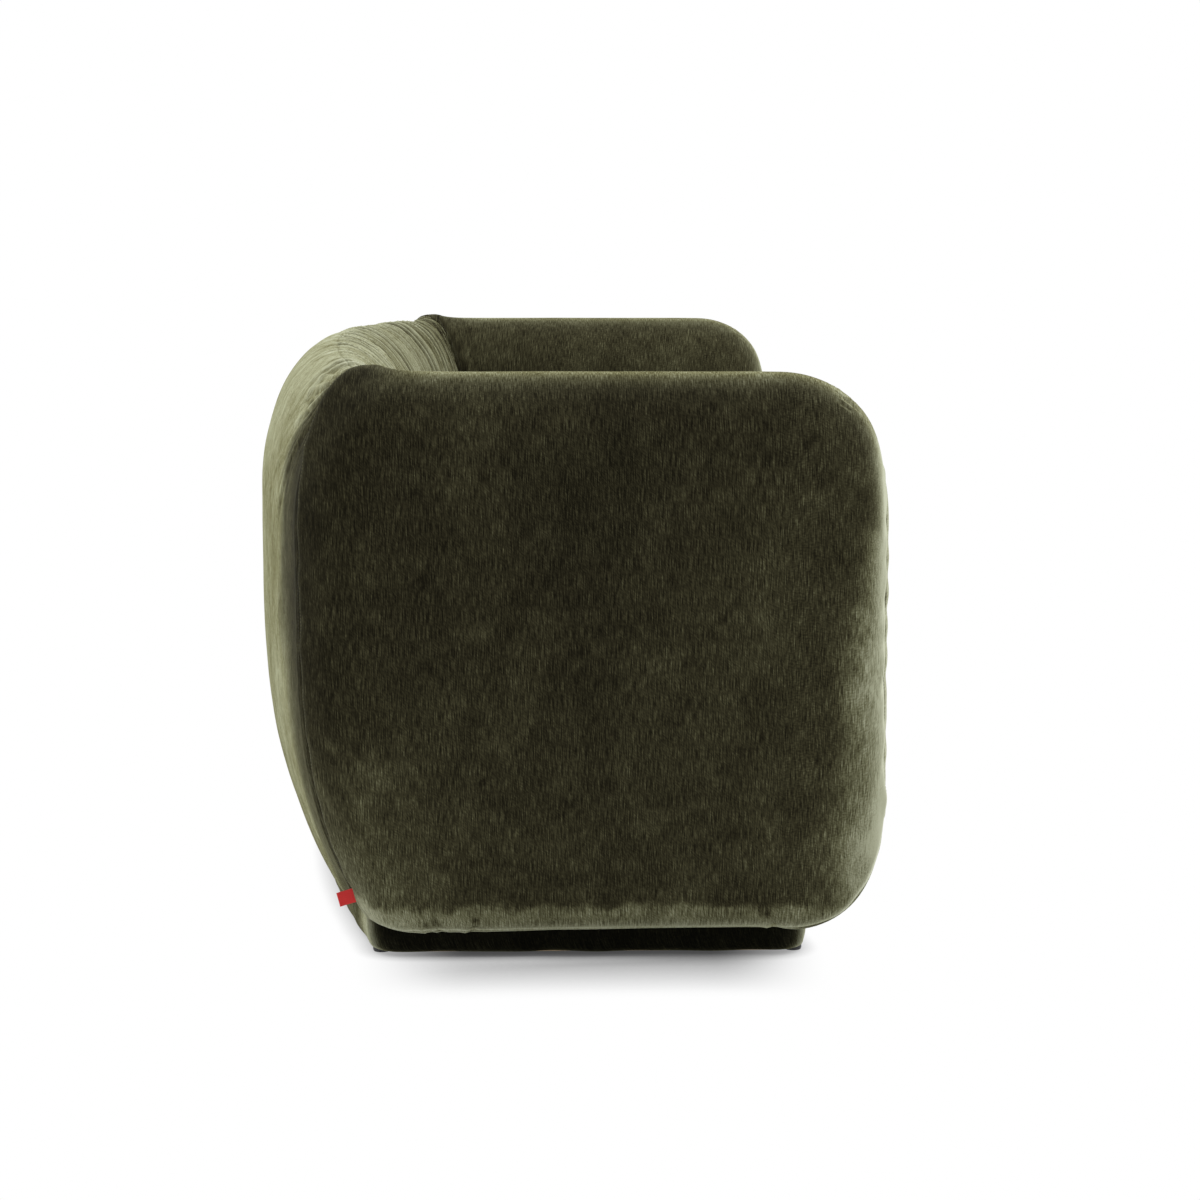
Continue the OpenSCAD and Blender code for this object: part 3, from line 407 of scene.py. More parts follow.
def skin(name, points, outward, nap_and_shading, sheen_share, thickness=0.004, flip=False, mirror=False, plumb_y=None):
    """plumb_y: the threads stand upright beside the line where y has this value."""
    across, up = lengths(points, 0), lengths(points, 1)
    if plumb_y is None:
        across = across - across[across.shape[0] // 2]
    else:
        plumb = [np.interp(plumb_y, y, run) for y, run in zip(points[..., 1].T, across.T)]
        across = across - np.array(plumb)
    if mirror:
        points, outward, flip = points * [-1, 1, 1], outward * [-1, 1, 1], not flip
    rows, cols = points.shape[:2]
    verts = np.concatenate([points.reshape(-1, 3), (points - outward * thickness).reshape(-1, 3)])
    number = np.arange(rows * cols).reshape(rows, cols)
    a, b = number[:-1, :-1].ravel(), number[1:, :-1].ravel()
    c, d = number[1:, 1:].ravel(), number[:-1, 1:].ravel()
    back = rows * cols
    rim = np.concatenate([number[:-1, 0], number[-1, :-1], number[:0:-1, -1], number[0, :0:-1]])
    follow = np.roll(rim, -1)
    faces = np.concatenate([np.stack([a, b, c, d], 1), np.stack([a, d, c, b], 1) + back,
                            np.stack([follow, rim, rim + back, follow + back], 1)])
    if flip:
        faces = faces[:, ::-1]
    uv = np.tile(np.stack([across, up], -1).reshape(-1, 2), (2, 1))
    sheen_share = sheen_share + 0 * nap_and_shading
    piece = add_mesh(name, verts, faces, uv, np.tile(nap_and_shading.ravel(), 2), np.tile(sheen_share.ravel(), 2))
    print(name, len(faces) * 2, "triangles")
    return piece


# %% [markdown]
# Cloth over foam is never quite even, and velvet shows every touch. A cloud
# function gives the soft dents and the brushed patches, and a sine whose
# wavelength wanders gives folds that don't repeat.
# %% Clouds, dents and folds
LATTICE = np.random.default_rng(7).uniform(-1, 1, (64, 64, 64))


def cloud(points, size, octaves=3, shift=0.0):
    total = np.zeros(points.shape[:-1])
    for octave in range(octaves):
        q = points / (size * 0.5 ** octave) + 31.7 + shift + 5.3 * octave
        cell = np.floor(q).astype(int)
        part = q - cell
        part = part * part * (3 - 2 * part)
        for corner in range(8):
            step = np.array([corner & 1, corner >> 1 & 1, corner >> 2 & 1])
            share = np.where(step == 1, part, 1 - part).prod(axis=-1)
            at = (cell + step) % 64
            total += share * LATTICE[at[..., 0], at[..., 1], at[..., 2]] * 0.5 ** octave
    return total


def bump(x, centre, width):
    return np.exp(-((x - centre) / width) ** 2)


def smooth(x, low, high):
    t = np.clip((x - low) / (high - low), 0, 1)
    return t * t * (3 - 2 * t)


def wander(x, wavelength, seed):
    draw = np.random.default_rng(seed)
    total = np.zeros_like(x)
    for _ in range(5):
        length = wavelength * draw.uniform(0.6, 1.7)
        total = total + np.sin(2 * np.pi * x / length + draw.uniform(0, 2 * np.pi))
    return total / 2.4


def creases(across, along, count, seed, span, reach, width):
    """Narrow pressed lines at chance places, each with its own length."""
    draw = np.random.default_rng(seed)
    total = np.zeros(np.broadcast(across, along).shape)
    for _ in range(count):
        place, lean = draw.uniform(*span), draw.normal() * 0.10
        start, end = sorted(draw.uniform(0, reach, 2))
        line = across - place - lean * along - draw.normal() * 0.8 * along ** 2
        inside = smooth(along, start - 0.02, start + 0.02) * (1 - smooth(along, end, end + 0.04))
        total = total + draw.uniform(0.4, 1.0) * bump(line, 0, width) * inside
    return total


def seam_roll(distance):
    """Pulled in at the seam, rolled up beside it."""
    return -0.0024 * bump(distance, 0, 0.0030) + 0.0016 * bump(distance, 0.017, 0.010)


STITCH_BESIDE = 0.0065


def topstitch(distance):
    """The dent of a stitched line beside the seam."""
    return -0.0009 * bump(distance, STITCH_BESIDE, 0.0012)


# %% [markdown]
# Each arm wears one wrap that runs from under its foot up the outside, over
# the top and down the inside. It rolls up beside its seams and turns under
# in a soft bottom roll. A cloth simulation could make its folds, but not
# put them where the photograph has them, so each fold is a formula of the
# distance to the seam that makes it.
# %% Places on the arm wraps
EAR_RISE, CORNER_PRESS, PRESS_WIDTH = 0.0085, 0.0046, 0.006

arm_k = graded_steps(lambda k: arm_surface(k, 2.0)[:, 0], 0, ARM_END, lambda k:
                     0.0032 + 0.005 * np.minimum(smooth(k, 0, 4), smooth(ARM_END - k, 0, 2.2)))
arm_j = graded_steps(lambda j: arm_surface(7.0, j)[0], -1, RING, lambda j:
                     np.where(j < 1, 0.004, np.where(j < LOW + TOP, 0.0052, 0.008)))


def arm_places(points, j):
    """Metres of cloth from the front and rear seams and from the foot, and the side it is on."""
    front = lengths(points, 0)
    j = j[None, :] + 0 * front
    return SimpleNamespace(front=front, rear=front[-1:] - front, run=lengths(points, 1), j=j,
                           y=points[..., 1], z=points[..., 2],
                           outside=1 - smooth(j, CREST - 1, CREST + 2))


# %% [markdown]
# The relief is how far a point stands off the plain form. The seams pull it
# in and roll up beside it, the rear corner rises in an ear, and the cloth is
# gathered there. Creases cross the bottom roll, and a small pucker sits
# below the front's top corner, as in the photograph.
# %% Relief of the arm wraps
SEAM_BULGE_Z, PUCKER_Y, PUCKER_Z = 0.231, -0.388, 0.752
FOOT_CREASES = ((0.152, 0.35), (0.139, 0.25), (0.094, -0.2), (-0.302, 0.4))


def arm_relief(points, at):
    front, rear, run, j, y, z = at.front, at.rear, at.run, at.j, at.y, at.z
    relief = 0.0013 * cloud(points, 0.20, 3)
    relief = relief + seam_roll(rear) + topstitch(rear)
    relief = relief + 0.7 * seam_roll(front) + topstitch(front)
    relief = relief + 0.0035 * bump(z, SEAM_BULGE_Z, 0.020) * bump(front, 0.012, 0.022)
    puff = (wander(run, 0.055, 41) * bump(rear, 0.014, 0.014)
            + wander(run, 0.07, 42) * bump(front, 0.014, 0.013))
    relief = relief + 0.0009 * puff
    ear = bump(rear, 0, 0.040) * bump(j, CREST - 0.4, 2.6)
    crown = 0.0058 * bump(j, CREST - 0.6, 2.4) * smooth(front, 0.02, 0.10)
    relief = relief + EAR_RISE * ear + crown
    calm = 1 - 0.9 * bump(j, CREST - 0.2, 1.8)
    gather = wander(run + 0.30 * rear, 0.020, 3) * np.exp(-rear / 0.030) * smooth(z, 0.64, 0.70) * calm
    inner = wander(rear + 0.12 * run, 0.021, 5) * np.exp(-rear / 0.050) * (1 - at.outside) * calm
    inner = inner * smooth(rear, 0.002, 0.014)
    # In the inner corner the two covers press into each other.
    relief = relief + CORNER_PRESS * bump(rear, 0, PRESS_WIDTH) * smooth(j, CREST + 1, CREST + 4)
    relief = relief + 0.0012 * gather + 0.0022 * inner
    low = 1 - smooth(z, FOOT_Z + 0.012, FOOT_Z + 0.045)
    pressed = 0
    for place, slope in FOOT_CREASES:
        line = y - place - slope * (z - FOOT_Z)
        fold = -0.0026 * bump(line, 0, 0.0035) + 0.0014 * bump(line, 0.009, 0.006)
        relief = relief + fold * low * at.outside
        # This marks the crease lines across the foot, where the tone is darkened as painted shade.
        pressed = pressed + bump(line, 0, 0.0022) * low * at.outside
    pull = bump(y, PUCKER_Y, 0.016) * bump(z, PUCKER_Z, 0.024) * at.outside
    relief = relief - 0.0028 * pull * (0.6 + 0.7 * wander(run + 0.5 * front, 0.012, 9))
    relief = relief + 0.0016 * bump(z, FOOT_Z + 0.024, 0.014) - 0.0013 * bump(z, FOOT_Z + 0.050, 0.012)
    return relief, SimpleNamespace(gather=gather, inner=inner, pressed=pressed, pull=pull)


# %% [markdown]
# Velvet shows which way it was last stroked, in random patches. The rest of
# the tone here is painted light and shade: the arm's middle is dark, its
# front edge and low rear carry painted sheen, its bottom roll a painted
# highlight, and the creases across the foot painted shade. It is also a
# little paler towards the front and low down. The change between them is
# ragged, because the distances are pushed about by clouds before they are used.
# %% Nap, painted sheen and painted shade of the arm wraps
def crushed(points, shift=0.0):
    """Patches where the pile has been pressed another way."""
    slow = cloud(points * [1, 1.5, 0.6], 0.14, 3, shift)
    small = cloud(points * [1, 1.6, 0.7], 0.035, 3, shift + 9)
    return 0.07 * slow + 0.05 * smooth(small, 0.15, 0.75) - 0.03


def arm_nap(points, at, folds):
    front, rear, y, z, outside = at.front, at.rear, at.y, at.z, at.outside
    # Painted sheen near the front edge, reaching further back low down.
    low_front = 1 - smooth(z, 0.12, 0.34)
    reach = 0.030 + 0.140 * low_front + 0.018 * cloud(points, 0.05, 2, 4)
    front_sheen = 1 - smooth(front / reach, 0.4, 1.25)
    # Painted sheen on the low rear of the arm.
    low_rear_sheen = smooth(y, 0.02, 0.24) * (1 - smooth(z, 0.10, 0.30))
    # A painted highlight along the bottom roll, with a ragged top.
    ragged = z + 0.010 * cloud(points, 0.030, 3) + 0.004 * cloud(points, 0.009, 2)
    rolled = 1 - smooth(ragged, FOOT_Z + 0.028, FOOT_Z + 0.042)
    nap_and_shading = 0.225 + crushed(points) + 0.06 * smooth(-y, 0.10, 0.40) + 0.05 * (1 - outside)
    # The crease lines across the foot are darkened here: painted shade.
    nap_and_shading = nap_and_shading + 0.26 * low_front * front_sheen + 0.16 * low_rear_sheen + 0.30 * rolled - 0.32 * folds.pressed
    # Painted sheen where the front edge rolls away, weaker near the top.
    near = front + 0.012 * cloud(points, 0.04, 3, 17)
    edge = 1 - smooth(near, 0.022, 0.108 + 0.050 * low_front)
    nap_and_shading = nap_and_shading + 0.62 * edge * (1 - 0.45 * smooth(z, 0.66, 0.75)) * outside
    nap_and_shading = nap_and_shading - 0.07 * smooth(y, 0.06, 0.24) * smooth(z, 0.30, 0.45) * outside
    nap_and_shading = nap_and_shading + 0.04 * (1 - smooth(z, 0.12, 0.35)) * outside
    # A painted highlight on the rear seam and painted shade just beside it.
    nap_and_shading = nap_and_shading + 0.12 * bump(rear, 0.003, 0.003) - 0.08 * bump(rear, 0.010, 0.004)
    scratch = creases(y - 0.5 * (z - 0.25), z - 0.17, 7, 61, (0.19, 0.29), 0.18, 0.0060)
    nap_and_shading = nap_and_shading + 0.13 * scratch * smooth(y, 0.16, 0.22) * outside
    # Painted highlights on the pucker's wrinkles and on the ridges of the gathers and inner folds.
    wrinkle_highlight = 0.22 * folds.pull * (wander(at.run, 0.010, 10) > 0.2)
    nap_and_shading = nap_and_shading + wrinkle_highlight + 0.10 * folds.gather + 0.10 * folds.inner
    # The sheen share is low at the rear seam and high at the front edge.
    sheen_share = (0.15 + 0.85 * smooth(rear, 0.02, 0.12)) * mix(0.74, 1.1, front_sheen) * outside
    return nap_and_shading, sheen_share + 0.45 * (1 - outside)


def arm_wrap(name, mirror):
    points = arm_surface(arm_k, arm_j)
    outward, flip = grid_normals(points, np.array([1.0, 0, 0]))
    at = arm_places(points, arm_j)
    relief, folds = arm_relief(points, at)
    nap_and_shading, sheen_share = arm_nap(points, at, folds)
    shaped = points + outward * relief[..., None]
    piece = skin(name, shaped, outward, nap_and_shading, sheen_share, flip=flip, mirror=mirror, plumb_y=0)
    return piece, shaped, outward


# %% [markdown]
# The front panel of each arm starts under the toe and runs up the front to
# the top corner. It is spanned across the first section of the wrap, so the
# two share an edge, and crowned as a padded panel between two seams is.
# %% Arm front panels
PANEL_ACROSS = 33
TOE_STEPS = 4


def front_panel(name, mirror):
    toe_k = np.linspace(TOE_STEPS, 0, 40)[:-1]
    rise_j = graded_steps(lambda j: arm_surface(0.0, j)[0], 0, CREST - 0.02, lambda j: 0.005 + 0 * j)
    low = arm_surface(toe_k, np.array([0.0, RING * 1.0]))
    rise_a = arm_surface(0.0, rise_j)[0]
    rise_b = arm_surface(0.0, RING - rise_j)[0]
    side_a = np.concatenate([low[:, 0], rise_a])
    side_b = np.concatenate([low[:, 1], rise_b])
    s = np.linspace(0, 1, PANEL_ACROSS)
    points = side_a[:, None] * (1 - s)[None, :, None] + side_b[:, None] * s[None, :, None]
    width = np.linalg.norm(side_b - side_a, axis=1)[:, None]
    edge = np.minimum(s, 1 - s)[None, :] * width
    run = lengths(points, 0)
    lie = np.concatenate([np.pi / 2 * toe_k / TOE_STEPS, 0 * rise_j])
    share = np.concatenate([np.interp(toe_k, [0, 1, 2, 3, 4], [1, 0.8, 0.4, 0, 0]),
                            quarter(2 * (1 - rise_j / CREST))])
    swell = FRONT_CROWN * share[:, None] * (1 - (2 * s - 1) ** 2)[None, :] ** 0.55
    puff = 0.0008 * wander(run, 0.05, 12) + 0.0006 * cloud(points, 0.06, 2)
    swell = swell + puff * share[:, None] - 0.0025 * bump(edge, 0, 0.004) + topstitch(edge)
    outward = np.stack([0 * lie, -np.cos(lie), -np.sin(lie)], axis=-1)[:, None] + 0 * points
    shaped = points + outward * swell[..., None]
    # Painted sheen: the panel's tone is set pale, palest beside its seams where it rolls away.
    nap_and_shading = 0.62 + crushed(points, 3) - 0.30 * smooth(edge, 0.01, 0.06)
    return skin(name, shaped, outward, nap_and_shading, 1.1, flip=True, mirror=mirror)


# %% [markdown]
# The back has two covers that meet in a seam along the crest. Both are a
# little full, so they lie in cross folds over the crest, sharp in the
# valleys. A wave gives the folds, and a narrow curve over another wave's
# zeros gives the valleys.
# %% Grids of the back covers
outside_j = graded_steps(lambda j: back_surface(0.0, j)[0], 0, CREST, lambda j:
                         np.where(j < 1, 0.005, np.where(j < LOW, 0.008, 0.0045)))
inside_j = graded_steps(lambda j: back_surface(0.0, j)[0], CREST, RING, lambda j:
                        np.where(j < LOW + TOP, 0.0045, 0.0085))
back_side = graded_steps(lambda s: back_surface(s, 9.0)[:, 0], -1, 1, lambda s:
                         0.0034 + 0.0022 * smooth(1 - np.abs(s), 0, 0.25))


def valleys(wave, sharp=0.16):
    return np.exp(-(wave / sharp) ** 2)


# %% [markdown]
# At the rear corners the outside cloth is gathered into the seam: folds fan
# out below the raised corner and end in a pinch. They follow the angle and
# the distance from the corner. The tone is paler on the fans and darker in
# their cuts and in the pinch: painted light and shade. It is also darker
# behind the arm and paler above it, and the sheen share follows the same
# places.
# %% Gathers of the outside cover
PINCH_END, PINCH_CREST = 0.150, 0.085


def gathered(points, length, end, crest, relief, nap_and_shading):
    z = points[..., 2]
    angle = np.arctan2(crest - 0.004, end + 0.012)
    radius = np.hypot(crest, end)
    lean = smooth(angle, 0.0, 0.25) * (1 - smooth(angle, 0.85, 1.20))
    fan = wander(angle + 0.3 * radius, 0.17, 31) * np.exp(-radius / 0.13)
    fan = fan * smooth(radius, 0.020, 0.050) * lean
    cut = valleys(wander(angle, 0.24, 33), 0.15) * np.exp(-radius / 0.15)
    cut = cut * smooth(radius, 0.025, 0.055) * lean
    above = smooth(0.62 - angle, -0.12, 0.12) * np.exp(-radius / 0.30)
    spot = np.hypot(end - PINCH_END, 1.6 * (crest - PINCH_CREST))
    star = np.arctan2(crest - PINCH_CREST, end - PINCH_END)
    knot = bump(spot, 0, 0.011) + 0.5 * valleys(np.sin(2.5 * star), 0.3) * bump(spot, 0.02, 0.018)
    relief = relief + 0.0090 * fan - 0.0060 * cut - 0.0042 * knot
    behind = 0.10 * (1 - smooth(end, 0.02, 0.13)) * (1 - above) * smooth(z, 0.20, 0.45)
    # Painted light and shade on the folds: paler on the fans, darker in the cuts and the pinch.
    nap_and_shading = nap_and_shading + 0.30 * fan - 0.44 * cut - 0.30 * knot - behind
    relief = relief - 0.005 * bump(end, 0.10, 0.12) * bump(crest, 0.07, 0.06)
    low_down = 1 - smooth(z, 0.15, 0.55)
    drift = end + 0.05 * cloud(points * [1, 1, 0.5], 0.09, 4, 8)
    drift = drift + 0.22 * above + 0.03 * (1 - smooth(z, 0.1, 0.5))
    sheen_share = 0.03 + 0.66 * smooth(drift, 0.11, 0.29 - 0.05 * low_down)
    sheen_share = sheen_share + 0.18 * fan - 0.32 * cut - 0.30 * knot
    sheen_share = sheen_share + 0.25 * smooth(end, 0.30, 0.50) + 0.55 * low_down * smooth(end, 0.05, 0.18)
    sheen_share = sheen_share * np.maximum(np.maximum(smooth(end, 0.025, 0.105), above), 0.6 * low_down)
    foot = 1 - smooth(z, FOOT_Z + 0.02, FOOT_Z + 0.05)
    relief = relief - 0.0022 * valleys(wander(length, 0.12, 35), 0.06) * foot
    return relief, nap_and_shading, sheen_share + 0.14 * low_down


# %% [markdown]
# The inside cover lies in pleats beside its corner seams. They fade out at
# the seam itself, where it presses into the arm's wrap, so no gap opens.
# %% Pleats of the inside cover and both shapes
def pleated(end, crest, relief, nap_and_shading):
    across = end + 0.16 * crest
    calm = smooth(crest, 0.008, 0.045)
    pleat = wander(across, 0.020, 37) * np.exp(-end / 0.055 - crest / 0.16) * calm
    cut = valleys(wander(across, 0.034, 38), 0.14) * np.exp(-end / 0.06 - crest / 0.18) * calm
    relief = relief + (0.0034 * pleat - 0.0024 * cut) * smooth(end, 0.002, 0.014)
    relief = relief + CORNER_PRESS * bump(end, 0, PRESS_WIDTH) * smooth(crest, 0.03, 0.12)
    # The tone is paler on the pleats and darker in their cuts: painted light and shade.
    return relief, nap_and_shading + 0.16 * pleat - 0.35 * cut


def back_shape(points, side, outside):
    length = lengths(points, 0)
    end = np.minimum(length, length[-1:] - length)
    run = lengths(points, 1)
    crest = run[:, -1:] - run if outside else run
    along = length + 0.5 * crest * np.sign(side)[:, None] + 0.02 * cloud(points, 0.09, 2)
    relief = 0.0016 * cloud(points, 0.20, 3) + seam_roll(end) + topstitch(end)
    puff = 0.0006 * wander(length, 0.03, 44) * bump(crest, 0.010, 0.010)
    relief = relief - 0.0010 * bump(crest, 0, 0.0024) + puff
    relief = relief + EAR_RISE * bump(end, 0, 0.050) * bump(crest, 0, 0.060)
    reach = 0.045 if outside else 0.200
    folds = wander(along, 0.042, 21) * np.exp(-crest / reach)
    fine = wander(along, 0.017, 25) * np.exp(-crest / (0.4 * reach))
    sharp = valleys(wander(along, 0.075, 27), 0.10) * np.exp(-crest / reach)
    relief = relief + 0.0020 * folds + 0.0011 * fine - 0.0020 * sharp
    # Painted light and shade: the tone is paler near the crest and away from the side seams, paler on the
    # folds' ridges, and darker in the sharp valleys and along the seams.
    nap_and_shading = 0.24 + 0.06 * smooth(end, 0.05, 0.30) + 0.09 * np.exp(-crest / 0.15)
    nap_and_shading = nap_and_shading + 1.3 * crushed(points, 6) + 0.15 * folds + 0.13 * fine - 0.34 * sharp
    nap_and_shading = nap_and_shading - 0.07 * bump(crest, 0, 0.002) - 0.06 * bump(end, 0.010, 0.004)
    if outside:
        return gathered(points, length, end, crest, relief, nap_and_shading)
    relief, nap_and_shading = pleated(end, crest, relief, nap_and_shading)
    # Painted sheen: the sheen share is highest near the crest and falls off down the inside and towards
    # the +X end.
    sheen_share = 0.62 - 0.40 * smooth(crest, 0.16, 0.42)
    return relief, nap_and_shading, sheen_share * (1 - 0.32 * smooth(side, -0.7, 0.5))[:, None]


def back_cover(name, j, outside):
    points = back_surface(back_side, j)
    outward, flip = grid_normals(points, np.array([0, 1.0 if outside else -0.7, 0.4]))
    relief, nap_and_shading, sheen_share = back_shape(points, back_side, outside)
    shaped = points + outward * relief[..., None]
    return skin(name, shaped, outward, nap_and_shading, sheen_share, flip=flip), shaped, outward


# %% [markdown]
# Each visible piece rides on a body of the part and stands for the nodes of
# the frame that it covers, which are hidden. Its paint, named by its slot
# unless another is given, is noted for the end.
# %% Make and dress the body's covers
SOFA, CUSHION = "sofa", "cushion"
dressed = []


def dress(piece, slot, fill, *nodes, body=SOFA, paint=None):
    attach(piece, body)
    if nodes:
        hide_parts(*nodes)
    dressed.append((piece, paint or slot))


wraps = [arm_wrap("arm_wrap_left", True), arm_wrap("arm_wrap_right", False)]
fronts = [front_panel("arm_front_panel_left", True), front_panel("arm_front_panel_right", False)]
outside_back = back_cover("back_outside_velvet", outside_j, True)
inside_back = back_cover("back_inside_velvet", inside_j, False)
dress(wraps[0][0], "velvet", 0.8, "arm_cover_left", "arm_foam_left")
dress(wraps[1][0], "velvet", 0.8, "arm_cover_right", "arm_foam_right")
dress(fronts[0], "velvet", 0.8, "arm_front_left", "arm_front_pad_left")
dress(fronts[1], "velvet", 0.8, "arm_front_right", "arm_front_pad_right")
dress(outside_back[0], "velvet", 0.8, "outside_back_cover", "back_foam")
dress(inside_back[0], "velvet", 0.8, "inside_back_cover")

# %% [markdown]
# Two rows of small stitches run beside the rear arm seams, one on each side,
# and one beside the front seams. Each stitch is a short spindle of thread
# that lies on the cloth. There are thousands, so a spindle has few faces and
# all those of one side of the sofa are one mesh.
# %% Topstitching
STITCH, PITCH, THREAD_R, SPOKES = 0.0030, 0.0044, 0.00045, 5


def line_beside(points, outward, distance, from_end):
    if from_end:
        points, outward = points[::-1], outward[::-1]
    away = lengths(points, 0)
    pick = [[[np.interp(distance, away[:, c], grid[:, c, axis]) for axis in range(3)]
             for c in range(grid.shape[1])] for grid in (points, outward)]
    return np.array(pick[0]), np.array(pick[1])


def stitch_row(line, up):
    run = np.concatenate([[0], np.cumsum(np.linalg.norm(np.diff(line, axis=0), axis=1))])
    at = np.arange(PITCH, run[-1] - PITCH, PITCH)
    mid = np.stack([np.interp(at, run, line[:, i]) for i in range(3)], -1)
    ahead = np.stack([np.interp(at + 0.001, run, line[:, i]) for i in range(3)], -1) - mid
    lift = np.stack([np.interp(at, run, up[:, i]) for i in range(3)], -1)
    return mid + lift * THREAD_R * 0.6, ahead / np.linalg.norm(ahead, axis=1, keepdims=True), lift


def stitches(name, rows, mirror):
    mid, ahead, lift = (np.concatenate([row[i] for row in rows]) for i in range(3))
    aside = np.cross(ahead, lift)
    ring = 2 * np.pi * np.arange(SPOKES) / SPOKES
    spoke = aside[:, None] * np.cos(ring)[None, :, None] + lift[:, None] * np.sin(ring)[None, :, None]
    mid, shift = mid[:, None], ahead[:, None] * STITCH
    verts = np.concatenate([mid - shift * 0.5, mid - shift * 0.3 + spoke * THREAD_R,
                            mid + shift * 0.3 + spoke * THREAD_R, mid + shift * 0.5], axis=1)
    last = 2 * SPOKES + 1
    faces = []
    for i in range(SPOKES):
        n = (i + 1) % SPOKES
        faces += [[0, 1 + n, 1 + i], [1 + i, 1 + n, 1 + SPOKES + n, 1 + SPOKES + i],
                  [1 + SPOKES + i, 1 + SPOKES + n, last]]
    faces = [[v + start for v in (face[::-1] if mirror else face)]
             for start in range(0, len(mid) * (last + 1), last + 1) for face in faces]
    verts = verts.reshape(-1, 3) * ([-1, 1, 1] if mirror else [1, 1, 1])
    mesh = bpy.data.meshes.new(name)
    mesh.from_pydata(verts.tolist(), [], faces)
    mesh.shade_smooth()
    piece = bpy.data.objects.new(name, mesh)
    bpy.context.collection.objects.link(piece)
    dress(piece, "velvet_dark", 0, paint="thread")
    print(name, len(mid), "stitches")


half = len(back_side) // 2
back_line = line_beside(outside_back[1][half:], outside_back[2][half:], STITCH_BESIDE, True)
for (_, shaped, outward), mirror, side in ((wraps[0], True, "left"), (wraps[1], False, "right")):
    lines = [line_beside(shaped, outward, STITCH_BESIDE, True),
             line_beside(shaped, outward, STITCH_BESIDE, False), back_line]
    stitches("seam_stitches_" + side, [stitch_row(*line) for line in lines], mirror)

# %% [markdown]
# The plinth wears a plain cover with rounded corners, turned under at the
# foot. It is a profile of a few points, carried round a loop in plan.
# %% Plinth cover
PLINTH_IN_SIDE, PLINTH_IN_FRONT, PLINTH_IN_BACK = 0.110, 0.092, 0.010
PLINTH_R = 0.044
X_PLINTH = X_OUT - PLINTH_IN_SIDE
Y_PLINTH_FRONT = Y_FRONT + PLINTH_IN_FRONT
Y_PLINTH_BACK = Y_BACK - BACK_TUCK - PLINTH_IN_BACK
PLINTH_TURN = 74
SEAT_BOW = 0.088
PLINTH_PROFILE = [(-0.0040, 0.0505), (-0.0060, 0.046), (-0.0058, 0.036), (-0.0046, 0.026),
                  (-0.0030, 0.018), (-0.0012, 0.012), (0.0012, 0.0085), (0.0034, 0.0073)]


def bow(x, y_mid, sag, half):
    return y_mid - sag * (x / half) ** 2


def evenly(path, count):
    run = np.concatenate([[0], np.cumsum(np.linalg.norm(np.diff(path, axis=0), axis=1))])
    at = np.linspace(0, run[-1], count)
    return np.stack([np.interp(at, run, path[:, i]) for i in range(path.shape[1])], -1)


def plinth_loop(inset, count):
    half, r = X_PLINTH - inset, PLINTH_R - inset
    flat = half - r
    x = np.linspace(0, flat, 60)
    y_low = bow(flat, Y_PLINTH_FRONT + SEAT_BOW + inset, SEAT_BOW, X_PLINTH) + r
    y_high = bow(flat, Y_PLINTH_BACK - inset, BACK_BOW, X_PLINTH) - r
    a = np.radians(np.linspace(-PLINTH_TURN, 0, 14))
    b = np.radians(np.linspace(0, PLINTH_TURN, 14))
    path = np.concatenate([
        np.stack([x, bow(x, Y_PLINTH_FRONT + SEAT_BOW + inset, SEAT_BOW, X_PLINTH)], -1)[:-1],
        np.stack([flat + r * np.cos(a), y_low + r * np.sin(a)], -1),
        np.stack([flat + r * np.cos(b), y_high + r * np.sin(b)], -1),
        np.stack([x, bow(x, Y_PLINTH_BACK - inset, BACK_BOW, X_PLINTH)], -1)[::-1][1:]])
    half_loop = evenly(path, count)
    return np.concatenate([half_loop, half_loop[-2::-1] * [-1, 1]])


plinth = []
for inset, z in evenly(np.array(PLINTH_PROFILE), 22):
    around = plinth_loop(inset, 420)
    plinth.append(np.concatenate([around, z + 0 * around[:, :1]], -1))
plinth = np.stack(plinth, axis=1)
outward, flip = grid_normals(plinth, plinth[plinth.shape[0] // 2, 7] - [0, 0, 0.03])
plinth = plinth + outward * (0.0005 * wander(lengths(plinth, 0), 0.09, 51))[..., None]
inward = X_PLINTH - np.abs(plinth[..., 0])
# Painted light and shade: the tone is pale at the plinth's rounded ends and dark in the middle under the
# overhang, and so is the sheen share.
lit_end = smooth(inward, 0.001, 0.016) * (1 - 0.85 * smooth(inward, 0.03, 0.12))
nap_and_shading = 0.12 + crushed(plinth, 12) + 0.40 * lit_end
sheen_share = 0.8 - 0.5 * smooth(inward, 0.03, 0.12)
dress(skin("plinth_velvet", plinth, outward, nap_and_shading, sheen_share, 0.002, flip=flip),
      "velvet_dark", 1.0, "plinth_cover")

